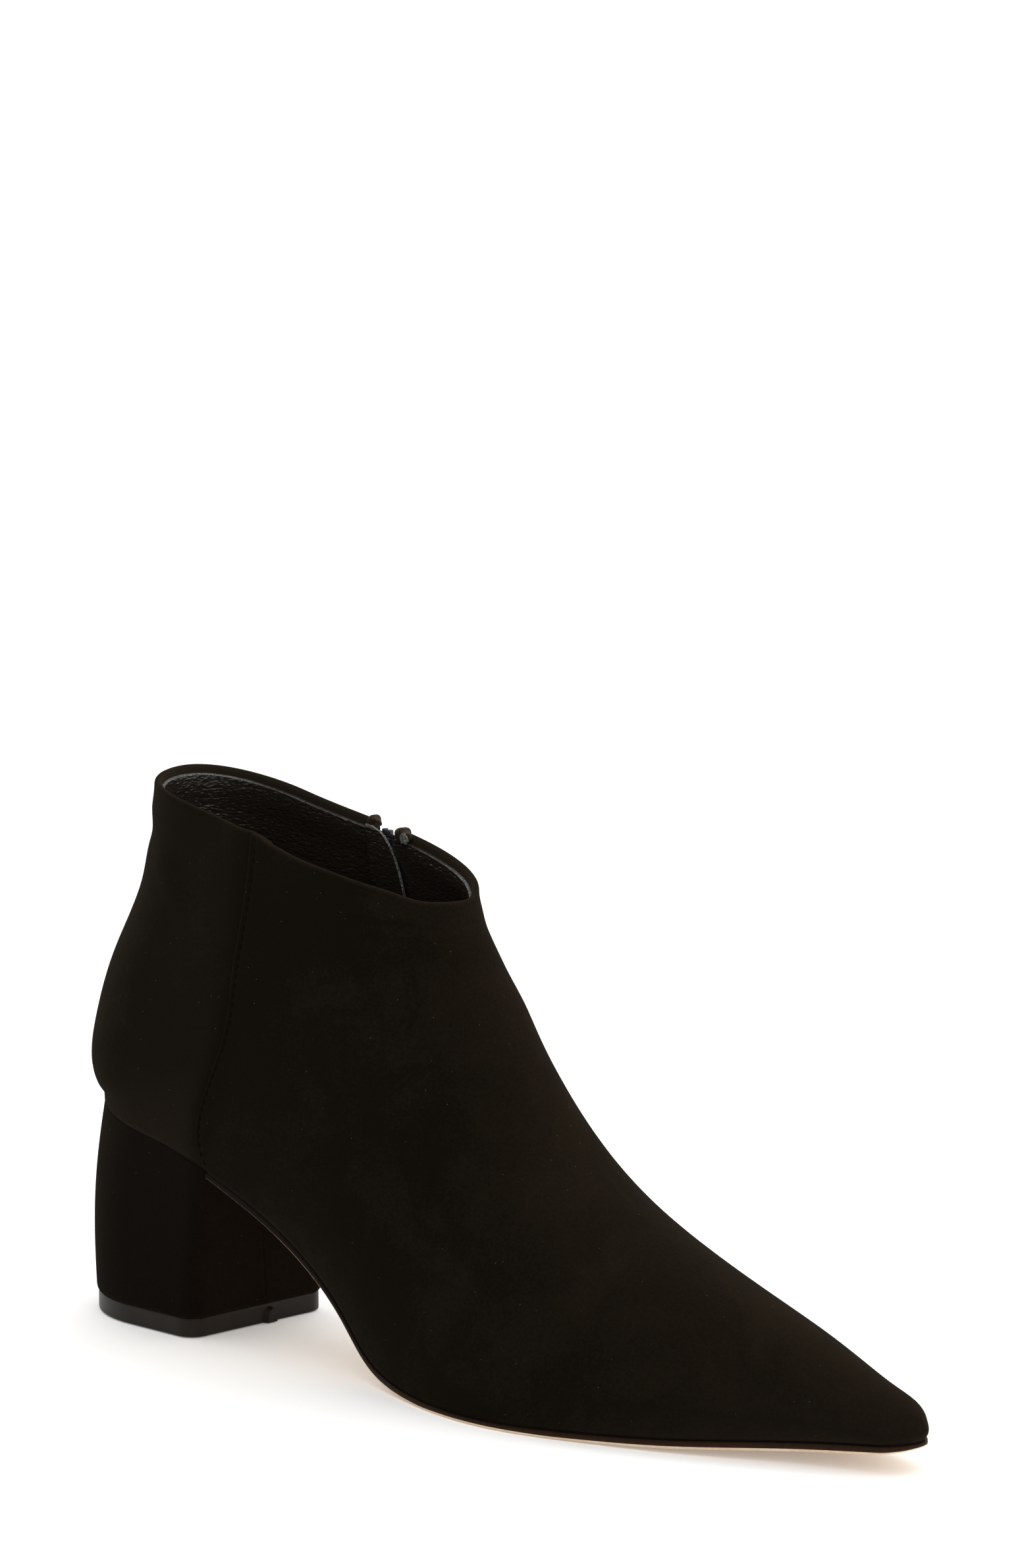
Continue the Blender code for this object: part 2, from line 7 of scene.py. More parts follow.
import bmesh
import bpy
import numpy as np
from mathutils import Matrix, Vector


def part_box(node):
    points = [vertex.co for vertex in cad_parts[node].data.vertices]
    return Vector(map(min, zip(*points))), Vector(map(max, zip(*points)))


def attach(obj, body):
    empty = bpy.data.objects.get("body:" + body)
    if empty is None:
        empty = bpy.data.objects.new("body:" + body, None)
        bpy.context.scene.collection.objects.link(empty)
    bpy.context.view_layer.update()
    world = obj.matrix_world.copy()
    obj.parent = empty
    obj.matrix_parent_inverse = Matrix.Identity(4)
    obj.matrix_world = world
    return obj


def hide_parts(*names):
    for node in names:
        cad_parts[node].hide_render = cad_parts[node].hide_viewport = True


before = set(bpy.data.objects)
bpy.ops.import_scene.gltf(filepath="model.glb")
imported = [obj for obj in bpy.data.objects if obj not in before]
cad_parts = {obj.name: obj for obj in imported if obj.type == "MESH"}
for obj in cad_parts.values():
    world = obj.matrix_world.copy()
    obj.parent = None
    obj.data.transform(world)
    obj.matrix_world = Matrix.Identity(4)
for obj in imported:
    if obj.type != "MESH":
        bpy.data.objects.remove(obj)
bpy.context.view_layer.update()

# Front panel of the upper: one piece of black goat suede that runs from the side seam over the toe
# to the zip. It is pulled over the last, folded in at the collar and lasted under along the sole.
MM = 0.001
SECTION_COLUMNS = "rear_x rear_z front_x front_z ridge_y lateral medial crown".split()
SECTIONS = {
    "nose": (262.7, 7.7, 264.2, 13.4, 12.2, 6.0, 6.0, 2.0),
    "tip": (255.5, 7.1, 257.0, 18.0, 12.0, 9.5, 9.5, 2.0),
    "toe": (246.0, 6.4, 247.0, 21.7, 11.5, 13.0, 13.0, 2.0),
    "toe_box": (228.0, 5.0, 228.0, 29.6, 10.5, 20.0, 20.0, 2.0),
    "vamp": (204.0, 3.1, 202.0, 39.2, 9.0, 28.5, 28.5, 1.9),
    "ball": (175.0, 1.9, 172.8, 52.7, 8.0, 36.0, 33.0, 1.85),
    "joint": (140.0, 1.5, 154.6, 69.2, 6.5, 36.0, 32.0, 1.85),
    "instep": (112.0, 5.1, 143.4, 84.2, 5.5, 33.5, 30.5, 2.0),
    "arch": (97.0, 18.1, 137.4, 94.2, 4.6, 32.0, 29.0, 2.2),
    "shank": (77.0, 34.3, 133.7, 101.5, 3.8, 31.0, 28.5, 2.5),
    "breast": (52.0, 47.1, 130.2, 107.6, 3.0, 30.0, 28.0, 2.8),
    "seat": (25.0, 55.6, 127.6, 112.6, 2.4, 29.0, 27.5, 3.2),
    "heel": (0.5, 62.0, 125.8, 116.6, 1.8, 28.5, 27.0, 3.6),
    "counter": (-2.6, 76.0, 124.4, 119.8, 1.2, 28.0, 26.0, 4.0),
    "ankle": (4.4, 99.0, 123.4, 122.6, 0.8, 26.5, 24.5, 4.5),
    "neck": (15.4, 122.0, 122.7, 125.0, 0.4, 25.0, 22.5, 5.0),
    "collar": (19.4, 149.0, 122.2, 127.0, 0.0, 24.0, 21.8, 6.0),
}
HEEL_ROW = list(SECTIONS).index("heel")
COLLAR_ROW = len(SECTIONS) - 1
PLAN_COLUMNS = "x lateral medial centre".split()
PLAN = [
    (-5.0, 26.0, 25.0, 0.0),
    (20.0, 26.0, 25.0, 0.0),
    (50.0, 25.0, 23.0, 0.5),
    (80.0, 23.5, 19.0, 2.0),
    (105.0, 25.0, 19.5, 3.0),
    (130.0, 32.0, 25.5, 4.0),
    (158.0, 35.5, 31.5, 5.0),
    (184.0, 31.0, 31.0, 7.0),
    (205.0, 25.0, 26.0, 8.5),
    (225.0, 17.5, 18.0, 10.0),
    (246.0, 10.5, 10.5, 11.5),
    (264.0, 6.0, 6.0, 12.0),
]
NOSE_ROUND = 7.0
NOSE_STATIONS, RUN_STEPS = 12, 2000
HEEL_ROUND = 27.0
GIRTH_AT = 0.4
# The collar's edge on each side: its rise in the middle, and its swing between back and front.
COLLAR_RISE = {"lateral": (1.4, 0.7), "medial": (0.1, -1.0)}
SIDE_SIGN = {"lateral": -1.0, "medial": 1.0}
TOP_PIECE_CORNER = np.array([-4.8, -22.4, 0.0])
LAST_ORIGIN = np.array(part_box("heel_lift")[0]) / MM - TOP_PIECE_CORNER


def spline(knots, values, at):
    """Natural cubic spline through the values at the knots, read at any points."""
    knots = np.asarray(knots, float)
    values = np.asarray(values, float)
    at = np.clip(np.asarray(at, float), knots[0], knots[-1])
    step = np.diff(knots)
    slope = np.diff(values) / step
    system = np.eye(len(knots))
    inner = np.arange(1, len(knots) - 1)
    system[inner, inner - 1] = step[:-1]
    system[inner, inner] = 2 * (step[:-1] + step[1:])
    system[inner, inner + 1] = step[1:]
    right = np.zeros(len(knots))
    right[inner] = 6 * np.diff(slope)
    bend = np.linalg.solve(system, right)
    i = np.clip(np.searchsorted(knots, at) - 1, 0, len(step) - 1)
    before = at - knots[i]
    after = knots[i + 1] - at
    cubic = (bend[i] * after**3 + bend[i + 1] * before**3) / (6 * step[i])
    low = (values[i] / step[i] - bend[i] * step[i] / 6) * after
    high = (values[i + 1] / step[i] - bend[i + 1] * step[i] / 6) * before
    return cubic + low + high


def section(column, s):
    """A column of the last's section table at the section number s, between rows too."""
    values = [row[SECTION_COLUMNS.index(column)] for row in SECTIONS.values()]
    return spline(range(len(values)), values, s)


def plan(column, x):
    """A column of the feather line's plan at x."""
    rows = np.array(PLAN)
    return spline(rows[:, 0], rows[:, PLAN_COLUMNS.index(column)], x)


def ease(share):
    """Rises from 0 to 1 with level ends."""
    share = np.clip(share, 0, 1)
    return share**2 * (3 - 2 * share)


def quarter_round(distance, radius):
    """Rises from 0 to 1 along a quarter ellipse as the distance grows to the radius."""
    left = 1 - np.clip(distance / radius, 0, 1)
    return np.sqrt(1 - left**2)


BACK_ROWS = np.linspace(HEEL_ROW, COLLAR_ROW, 200)
BACK_X = section("rear_x", BACK_ROWS)
BACK_Z = section("rear_z", BACK_ROWS)
FEATHER_ROWS = np.linspace(0, HEEL_ROW, 400)
FEATHER_X = section("rear_x", FEATHER_ROWS)
FEATHER_Z = section("rear_z", FEATHER_ROWS)


def last_point(s, q, side):
    """Outside of the upper on section s, the share q of the way from its rear to its front point.

    The half width starts at the feather line's, fills out to the section's own, closes over the
    ridge as a rounded crown, and is rounded off at the back of the heel and at the nose. Up the
    shaft the section bends by half a sine wave times the collar's middle rise and a whole one times
    its swing.
    """
    s, q = np.broadcast_arrays(np.asarray(s, float), np.asarray(q, float))
    rear_x = section("rear_x", s)
    rear_z = section("rear_z", s)
    x = rear_x + q * (section("front_x", s) - rear_x)
    above_heel = ease((s - HEEL_ROW + 1) / (COLLAR_ROW - HEEL_ROW + 1))
    z = rear_z + q * (section("front_z", s) - rear_z)
    middle, swing = COLLAR_RISE[side]
    z = z + above_heel * (middle * np.sin(np.pi * q) + swing * np.sin(2 * np.pi * q))
    girth = section(side, s)
    base = plan(side, rear_x)
    base = base + (girth - base) * ease(s - HEEL_ROW)
    filled = 1 - np.clip(1 - q / GIRTH_AT, 0, 1) ** 2
    crown = np.sqrt(np.clip(1 - q ** section("crown", s), 0, None))
    on_back_seam = (q == 0) & (s >= HEEL_ROW)
    from_back = np.where(on_back_seam, 0, x - np.interp(z, BACK_Z, BACK_X))
    half = (base + (girth - base) * filled) * crown
    half = half * quarter_round(from_back, HEEL_ROUND)
    half = half * quarter_round(FEATHER_X[0] - rear_x, NOSE_ROUND)
    centre = (1 - q) * plan("centre", rear_x) + q * section("ridge_y", s)
    return np.stack([x, centre + SIDE_SIGN[side] * half, z], axis=-1)


# Heights on the side seam, and its x there.
SIDE_SEAM = [
    (46.0, 53.0),
    (50.0, 51.5),
    (57.0, 51.3),
    (66.0, 54.0),
    (77.0, 58.7),
    (88.0, 62.2),
    (103.0, 64.8),
    (118.0, 67.2),
    (130.0, 68.9),
    (142.0, 69.8),
]
SEAM_LAP = 5.0
SEAM_GUESS, SEAM_ROUNDS = 0.4, 30
FOOT_ROWS_BACK, FOOT_STEPS = 4, 400
ZIP_TOP_X, ZIP_BOTTOM_X = 76.0, 80.0
ZIP_LAST_ROW = HEEL_ROW - 2.8
ZIP_BOTTOM_Z = 58.0
SLOT_HALF = 3.6
SLOT_END_ROUND = 3.0
SLOT_FLARE, SLOT_FLARE_ROWS = 1.8, 0.4
SHORTEST_SEAMED = 25.0


def section_long(s):
    """Length in x of section s, or of the shortest section that a seam crosses."""
    return np.maximum(section("front_x", s) - section("rear_x", s), SHORTEST_SEAMED)


def section_span(s):
    """Straight length of section s from its rear to its front point."""
    forward = section("front_x", s) - section("rear_x", s)
    return np.hypot(forward, section("front_z", s) - section("rear_z", s))


def seam_share(s):
    """Share of section s at which the side seam crosses it.

    The height at a share gives the seam's x, that x gives a new share, and so on until it settles.
    """
    rear_x, rear_z = section("rear_x", s), section("rear_z", s)
    long, rise = section_long(s), section("front_z", s) - rear_z
    heights, places = np.array(SIDE_SEAM).T
    share = np.full(np.shape(s), SEAM_GUESS)
    for _ in range(SEAM_ROUNDS):
        share = (spline(heights, places, rear_z + share * rise) - rear_x) / long
    return share


def zip_x(s):
    """x of the zip's middle on section s: it leans a little towards the toe as it goes down."""
    return ZIP_TOP_X + (ZIP_BOTTOM_X - ZIP_TOP_X) * (COLLAR_ROW - s) / (COLLAR_ROW - ZIP_LAST_ROW)


def slot_half(s):
    """Half the width of the zip's slot on section s, closing in a quarter ellipse at its foot."""
    share = (zip_x(s) - section("rear_x", s)) / section_long(s)
    z = last_point(s, np.clip(share, 0, 1), "medial")[..., 2]
    return SLOT_HALF * quarter_round(z - ZIP_BOTTOM_Z + SLOT_END_ROUND, SLOT_END_ROUND)


def border_share(panel, side, s, lap=SEAM_LAP):
    """Share of section s at which a panel of the upper ends, on its lateral or medial side.

    That is the side seam, the edge of the zip's slot, or the seam under the zip, where the rear panel
    runs on under the front one by the lap. Below the seams the share is negative.
    """
    rear_x = section("rear_x", s)
    long = section_long(s)
    under = lap if panel == "rear" else 0.0
    if side == "lateral":
        return seam_share(s) + under / long
    opening = slot_half(s)
    flare = SLOT_FLARE * (1 - ease((COLLAR_ROW - s) / SLOT_FLARE_ROWS))
    edge = zip_x(s) + (opening + flare if panel == "front" else -opening)
    return (edge + under * (1 - opening / SLOT_HALF) - rear_x) / long


def foot_row(panel, side, lap=SEAM_LAP):
    """Section number at which a panel's border meets the feather line."""
    rows = np.linspace(HEEL_ROW - FOOT_ROWS_BACK, HEEL_ROW, FOOT_STEPS)
    return float(np.interp(0.0, border_share(panel, side, rows, lap), rows))


def bell(distance, half_width):
    """A soft hump: 1 at no distance, falling off as a Gauss curve."""
    return np.exp(-((distance / half_width) ** 2))


# Waves of the collar's edge: the share of its section, the half width in shares, and the drop.
COLLAR_WAVES = {
    "lateral": [(0.49, 0.03, -0.5), (0.63, 0.07, 0.4), (0.96, 0.05, 1.4)],
    "medial": [(1.0, 0.035, 0.74)],
}


def below_collar(q, side, drop):
    """Section number of the points that lie a drop under the collar's edge, at share q of its section.

    The edge waves a little: humps across the share are added to the drop.
    """
    for share, half_width, dip in COLLAR_WAVES[side]:
        drop = drop + dip * bell(q - share, half_width)
    step = 0.1
    pace = last_point(COLLAR_ROW, q, side) - last_point(COLLAR_ROW - step, q, side)
    return COLLAR_ROW - drop * step / np.linalg.norm(pace, axis=-1)


def front_grid(spacing, columns, drop):
    """Grid of the front panel, rows from nose to collar, columns from lateral to medial border.

    Rows are evenly spaced along feather line and back, closer at the nose, and the last one lies a
    drop under the collar's edge. From the border a quarter cosine leads to the ridge, and columns
    crowd towards both. Gives points, distances from the border, section numbers and side signs.
    """
    fine = np.linspace(0, COLLAR_ROW, RUN_STEPS)
    rear = np.stack([section("rear_x", fine), section("rear_z", fine)], axis=1)
    run = np.concatenate([[0], np.cumsum(np.linalg.norm(np.diff(rear, axis=0), axis=1))])
    nose = NOSE_ROUND * np.linspace(0, 1, NOSE_STATIONS) ** 2
    along = np.concatenate([nose[:-1], np.arange(NOSE_ROUND, run[-1], spacing), run[-1:]])
    rows = np.interp(along, run, fine)[:, None]
    fall = np.sin(np.pi / 2 * np.linspace(0, 1, columns))
    halves = []
    for side in ("lateral", "medial"):
        top = border_share("front", side, float(COLLAR_ROW))
        last = below_collar(top + (1 - top) * np.cos(np.pi / 2 * fall), side, drop)
        above = np.clip(rows - HEEL_ROW, 0, None) / (COLLAR_ROW - HEEL_ROW)
        s = np.minimum(rows, HEEL_ROW) + above * (last - HEEL_ROW)
        edge = np.clip(border_share("front", side, s), 0, None)
        q = edge + (1 - edge) * np.cos(np.pi / 2 * fall)
        sign = np.full(s.shape, SIDE_SIGN[side])
        halves.append((last_point(s, q, side), (q - edge) * section_span(s), s, sign))
    return [np.concatenate([left[:, ::-1], right[:, 1:]], axis=1) for left, right in zip(*halves)]


def unit(vectors):
    """Vectors of length one."""
    return vectors / np.maximum(np.linalg.norm(vectors, axis=-1, keepdims=True), 1e-9)


def outward(grid):
    """Unit normals of a grid, from the differences along its columns and rows.

    A first row whose two halves lie on each other, as at the nose, gets the mean of both.
    """
    normal = unit(np.cross(np.gradient(grid, axis=1), np.gradient(grid, axis=0)))
    if np.allclose(grid[0], grid[0, ::-1], atol=0.01):
        normal[0] = unit(normal[0] + normal[0, ::-1])
    return normal


# Soft folds in the side view: from x and z, to x and z, half width and rise.
LATERAL_CREASES = [
    (36.0, 128.0, 54.0, 107.0, 3.2, 0.5),
    (44.0, 128.0, 60.0, 108.0, 5.0, -0.5),
    (30.0, 104.0, 46.0, 92.0, 7.0, -0.35),
    (106.0, 121.5, 121.0, 119.5, 2.2, -0.3),
    (104.0, 118.0, 120.0, 116.0, 3.0, 0.25),
    (146.0, 62.0, 128.0, 40.0, 9.0, -0.4),
    (166.0, 50.0, 150.0, 28.0, 9.0, 0.4),
]
# Folds around the back of the ankle: height, half width and rise.
BACK_FOLDS = [(141.0, 2.6, 0.3), (134.5, 3.0, -0.5), (127.0, 5.0, 0.3)]
BACK_FOLD_REACH = 22.0


def crease_relief(points, sign):
    """Height of the soft folds of the suede: humps across the distance from lines in the side view,

    and level folds in the height around the back of the ankle that fade out towards the sides.
    """
    flat = points[..., [0, 2]]
    relief = np.zeros(points.shape[:-1])
    for from_x, from_z, to_x, to_z, half_width, rise in LATERAL_CREASES:
        start, end = np.array([from_x, from_z]), np.array([to_x, to_z])
        way = end - start
        share = np.clip((flat - start) @ way / (way @ way), 0, 1)
        distance = np.linalg.norm(flat - start - share[..., None] * way, axis=-1)
        relief += np.where(sign < 0, rise * bell(distance, half_width), 0)
    behind = 1 - ease((points[..., 0] - np.interp(points[..., 2], BACK_Z, BACK_X)) / BACK_FOLD_REACH)
    for height, half_width, rise in BACK_FOLDS:
        relief += rise * behind * bell(points[..., 2] - height, half_width)
    return relief


FOLD_TURNS = [180, 135, 90, 45]
ROLL_TURNS, ROLL_DROPS = [25, 50, 75, 100, 125, 150, 180], [0.5, 1.0]
ROLL_ROWS = len(ROLL_TURNS) + len(ROLL_DROPS)
# Painted light on the rolled collar: the roll row where it starts and the rows it grows over.
ROLL_LIGHT_FROM, ROLL_LIGHT_OVER = 2.5, 3.0


def fold_borders(grid, normals, radius, under):
    """Grid with its first and last columns turned under: half a circle of the radius, then back."""
    turns = np.radians(FOLD_TURNS)[:, None, None]
    sides = []
    for edge, inner in ((0, 4), (-1, -5)):
        start, normal = grid[:, edge], normals[:, edge]
        inward = grid[:, inner] - start
        inward = unit(inward - (inward * normal).sum(axis=-1, keepdims=True) * normal)
        arc = start - inward * radius * np.sin(turns) - normal * radius * (1 - np.cos(turns))
        tail = start + inward * under - normal * 2 * radius
        sides.append(np.concatenate([tail[None], arc]).transpose(1, 0, 2))
    return np.concatenate([sides[0], grid, sides[1][:, ::-1]], axis=1)


def roll_collar(grid, folded, radius, under):
    """Rows that carry a panel's collar edge over half a circle of the radius and down inside.

    A column that is folded under turns with the border column beside it, so the fold stays a fold.
    """
    count = grid.shape[1]
    beside = np.clip(np.arange(count), folded, count - 1 - folded)
    normal = outward(grid[-3:, folded : count - folded])[-1][beside - folded]
    base = grid[-1][beside]
    up = base - grid[-2][beside]
    up = unit(up - (up * normal).sum(axis=-1, keepdims=True) * normal)
    aside = grid[-1] - base
    depth = (aside * normal).sum(axis=-1, keepdims=True)
    along = aside - depth * normal
    turn = np.radians(ROLL_TURNS)[:, None, None]
    arc = base + up * radius * np.sin(turn) - normal * radius * (1 - np.cos(turn))
    arc = arc + along + depth * (normal * np.cos(turn) + up * np.sin(turn))
    drop = np.array(ROLL_DROPS)[:, None, None] * under
    return np.concatenate([grid, arc, arc[-1] - up * drop])


def paint_collar_light(sheet):
    """Marks of a sheet with a rolled collar: painted light from the top of the roll on, and full on the
    band inside.
    """
    light_share = np.zeros(sheet.shape[:2])
    share = (np.arange(ROLL_ROWS) - ROLL_LIGHT_FROM) / ROLL_LIGHT_OVER
    light_share[-ROLL_ROWS:] = np.clip(share, 0, 1)[:, None]
    return light_share


def grid_faces(rows, columns, around=False):
    """Quads of a grid listed row by row; around joins the last column to the first."""
    i = np.arange(rows - 1)[:, None] * columns
    j = np.arange(columns if around else columns - 1)
    k = (j + 1) % columns
    return np.stack([i + j, i + k, i + columns + k, i + columns + j], axis=-1).reshape(-1, 4)


def add_piece(name, points, faces, material, sharp=40.0, marks=()):
    """Mesh object of points on the last, in the part's own frame, welded and shaded smooth.

    Marks are numbers for each point that are kept as attributes for the material.
    """
    mesh = bpy.data.meshes.new(name)
    places = (np.asarray(points).reshape(-1, 3) + LAST_ORIGIN) * MM
    mesh.from_pydata(places.tolist(), [], [list(face) for face in faces])
    for mark, values in dict(marks).items():
        layer = mesh.attributes.new(mark, "FLOAT", "POINT")
        layer.data.foreach_set("value", np.asarray(values, np.float32).ravel())
    shape = bmesh.new()
    shape.from_mesh(mesh)
    bmesh.ops.remove_doubles(shape, verts=shape.verts, dist=0.002 * MM)
    bmesh.ops.dissolve_degenerate(shape, edges=shape.edges, dist=0.0005 * MM)
    shape.to_mesh(mesh)
    shape.free()
    mesh.shade_smooth()
    mesh.set_sharp_from_angle(angle=np.radians(sharp))
    mesh.materials.append(material)
    piece = bpy.data.objects.new(name, mesh)
    bpy.context.scene.collection.objects.link(piece)
    return piece


def thicken(piece, thick):
    """Gives a sheet its thickness on the side away from its faces."""
    wall = piece.modifiers.new("thickness", "SOLIDIFY")
    wall.thickness = thick * MM
    wall.offset = -1.0


def linear(code):
    """Linear colour of an sRGB hex code."""
    value = np.array([int(code[i : i + 2], 16) for i in (1, 3, 5)]) / 255
    value = np.where(value <= 0.04045, value / 12.92, ((value + 0.055) / 1.055) ** 2.4)
    return (*value.tolist(), 1.0)


def add_node(tree, kind, inputs=(), **settings):
    """Adds a node with its settings; an input is given a value, or is linked where that is a socket."""
    node = tree.nodes.new(kind)
    for name, value in settings.items():
        setattr(node, name, value)
    for name, value in dict(inputs).items():
        if isinstance(value, bpy.types.NodeSocket):
            tree.links.new(value, node.inputs[name])
        else:
            node.inputs[name].default_value = value
    return node


def new_material(name, **constants):
    """Material with a Principled shader whose constant sockets are set; gives material, tree, shader."""
    material = bpy.data.materials.new(name)
    material.use_nodes = True
    shader = material.node_tree.nodes["Principled BSDF"]
    for socket, value in constants.items():
        shader.inputs[socket.replace("_", " ").title().replace("Ior", "IOR")].default_value = value
    return material, material.node_tree, shader


def make_suede(name, shade="#0f0c08", lit_and_patch_tone="#1a150e"):
    """Goat suede dyed black: a short matt nap, lighter in soft patches, with light and shade painted by its
    facing.

    It is drawn lighter where it faces heel, toe, up or down and darker on the sides, as painted light
    and shade, by the share 0.5 nx^2 + 0.9 |nz| - 0.1 of the normal. Brown where the scuff and light
    attribute is 1. Its tufts are under half a millimetre and are drawn at 0.8 mm.
    """
    material, tree, shader = new_material(
        name, roughness=1.0, specular_ior_level=0.0, sheen_weight=0.02, sheen_roughness=0.5
    )
    shader.inputs["Sheen Tint"].default_value = linear("#fff0dc")
    own = add_node(tree, "ShaderNodeTexCoord")
    place = own.outputs["Object"]
    # Painted light and shade from the normal: lighter facing heel, toe, up and down, darker on the sides.
    facing = add_node(tree, "ShaderNodeSeparateXYZ", {"Vector": own.outputs["Normal"]})
    along = add_node(
        tree,
        "ShaderNodeMath",
        {0: facing.outputs["X"], 1: facing.outputs["X"]},
        operation="MULTIPLY",
    )
    level = add_node(tree, "ShaderNodeMath", {0: facing.outputs["Z"]}, operation="ABSOLUTE")
    above = add_node(
        tree, "ShaderNodeMapRange", {"Value": level.outputs[0], "To Min": -0.1, "To Max": 0.8}
    )
    facing_light = add_node(
        tree,
        "ShaderNodeMath",
        {0: along.outputs[0], 1: 0.5, 2: above.outputs[0]},
        operation="MULTIPLY_ADD",
    )
    patches = add_node(
        tree,
        "ShaderNodeTexNoise",
        {"Vector": place, "Scale": 1000 / 26, "Detail": 5.0, "Roughness": 0.65, "Distortion": 0.6},
    )
    nap = add_node(
        tree,
        "ShaderNodeTexNoise",
        {"Vector": place, "Scale": 1000 / 0.8, "Detail": 2.0, "Roughness": 0.6},
    )
    mottle = add_node(
        tree,
        "ShaderNodeMapRange",
        {
            "Value": patches.outputs["Fac"],
            "From Min": 0.35,
            "From Max": 0.72,
            "To Min": -0.2,
            "To Max": 0.3,
        },
        interpolation_type="SMOOTHSTEP",
    )
    mottle_and_light = add_node(
        tree, "ShaderNodeMath", {0: mottle.outputs[0], 1: facing_light.outputs[0]}, operation="ADD"
    )
    tufts = add_node(
        tree,
        "ShaderNodeMapRange",
        {"Value": nap.outputs["Fac"], "From Min": 0.3, "From Max": 0.7, "To Min": -0.22, "To Max": 0.22},
    )
    share = add_node(
        tree, "ShaderNodeMath", {0: mottle_and_light.outputs[0], 1: tufts.outputs[0]}, operation="ADD", use_clamp=True
    )
    light_and_patches = add_node(
        tree,
        "ShaderNodeMix",
        {"Factor": share.outputs[0], "A": linear(shade), "B": linear(lit_and_patch_tone)},
        data_type="RGBA",
    )
    dust = add_node(
        tree, "ShaderNodeTexVoronoi", {"Vector": place, "Scale": 1000 / 3.4, "Randomness": 1.0}
    )
    speck = add_node(
        tree,
        "ShaderNodeMapRange",
        {"Value": dust.outputs["Distance"], "From Min": 0.05, "From Max": 0.02},
    )
    dusty = add_node(
        tree,
        "ShaderNodeMix",
        {"Factor": speck.outputs[0], "A": light_and_patches.outputs["Result"], "B": linear("#443e35")},
        data_type="RGBA",
    )
    # Brown where the attribute is 1: painted light on the collar's roll and at the counter, and a light
    # scuff at the toe.
    scuff_and_painted_light = add_node(tree, "ShaderNodeAttribute", attribute_name="scuff_and_painted_light").outputs["Fac"]
    colour = add_node(
        tree,
        "ShaderNodeMix",
        {"Factor": scuff_and_painted_light, "A": dusty.outputs["Result"], "B": linear("#251f18")},
        data_type="RGBA",
    )
    tree.links.new(colour.outputs["Result"], shader.inputs["Base Color"])
    raised = add_node(
        tree,
        "ShaderNodeBump",
        {"Height": nap.outputs["Fac"], "Strength": 0.35, "Distance": 0.25 * MM},
    )
    tree.links.new(raised.outputs["Normal"], shader.inputs["Normal"])
    return material


SUEDE_THICK = 0.3
EDGE_FOLD = 0.4
EDGE_UNDER = 1.6
COLLAR_FOLD = 1.0
COLLAR_UNDER = 3.2
LAP_RAISE, LAP_REACH = 0.25, 8.0
STITCH_IN, STITCH_DENT, STITCH_DENT_HALF = 1.3, 0.22, 0.55
ZIP_STITCH_IN, ZIP_PRESS, ZIP_PRESS_REACH = 2.2, 0.25, 3.0
LASTING_TUCK, LASTING_REACH = 0.35, 1.8
TOE_RUB, TOE_RUB_REACH, TOE_RUB_FROM, TOE_RUB_ROWS = 0.2, 22.0, 2.5, 3.5
FRONT_SPACING, FRONT_COLUMNS = 1.5, 64
FOLD_COLUMNS = len(FOLD_TURNS) + 1
LATERAL_START_ROWS, MEDIAL_START_ROWS = 0.4, 0.3
NOSE_ROLL_ROWS, NOSE_HIGH, NOSE_FULL, NOSE_BACK = 0.5, 5.7, 0.6, 0.9

front_points, front_in, front_s, front_sign = front_grid(FRONT_SPACING, FRONT_COLUMNS, COLLAR_FOLD)
nose = 1 - ease(front_s / NOSE_ROLL_ROWS)
nose_height = np.clip((front_points[..., 2] - section("rear_z", 0.0)) / NOSE_HIGH, 0, 1)
front_points[..., 0] += nose * (NOSE_FULL * np.sin(np.pi * nose_height) - NOSE_BACK * nose_height**3)
front_normals = outward(front_points)
on_seam = np.where(
    front_sign < 0,
    ease((front_s - foot_row("front", "lateral")) / LATERAL_START_ROWS),
    ease((front_s - foot_row("front", "medial")) / MEDIAL_START_ROWS),
)
on_slot = np.where(front_sign > 0, slot_half(front_s) / SLOT_HALF, 0)
on_lap = on_seam * (1 - on_slot)
front_relief = LAP_RAISE * on_lap * (1 - ease(front_in / LAP_REACH))
front_relief -= STITCH_DENT * on_lap * bell(front_in - STITCH_IN, STITCH_DENT_HALF)
front_relief -= ZIP_PRESS * on_slot * (1 - ease(front_in / ZIP_PRESS_REACH))
front_relief -= STITCH_DENT * on_slot * bell(front_in - ZIP_STITCH_IN, STITCH_DENT_HALF)
front_relief -= LASTING_TUCK * (1 - on_seam) * (1 - ease(front_in / LASTING_REACH))
front_relief += crease_relief(front_points, front_sign) * ease(front_in / LAP_REACH)
front_points = front_points + front_relief[..., None] * front_normals
front_normals = outward(front_points)
front_sheet = fold_borders(front_points, front_normals, EDGE_FOLD, EDGE_UNDER)
front_sheet = roll_collar(front_sheet, FOLD_COLUMNS, COLLAR_FOLD, COLLAR_UNDER)
# Marks of the front panel: painted light on the collar's roll, and a light scuff along the toe above the
# sole.
front_light_and_scuff = paint_collar_light(front_sheet)
by_toe = 1 - ease((front_s - TOE_RUB_FROM) / TOE_RUB_ROWS)
front_light_and_scuff[: len(front_points), FOLD_COLUMNS:-FOLD_COLUMNS] += (
    TOE_RUB * by_toe * (1 - ease(front_in / TOE_RUB_REACH))
)
suede = make_suede("goat_suede_black")
front_panel = add_piece(
    "upper_front_panel",
    front_sheet,
    grid_faces(*front_sheet.shape[:2]),
    suede,
    sharp=80.0,
    marks={"scuff_and_painted_light": front_light_and_scuff},
)
thicken(front_panel, SUEDE_THICK)
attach(front_panel, "shoe")
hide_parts("upper")

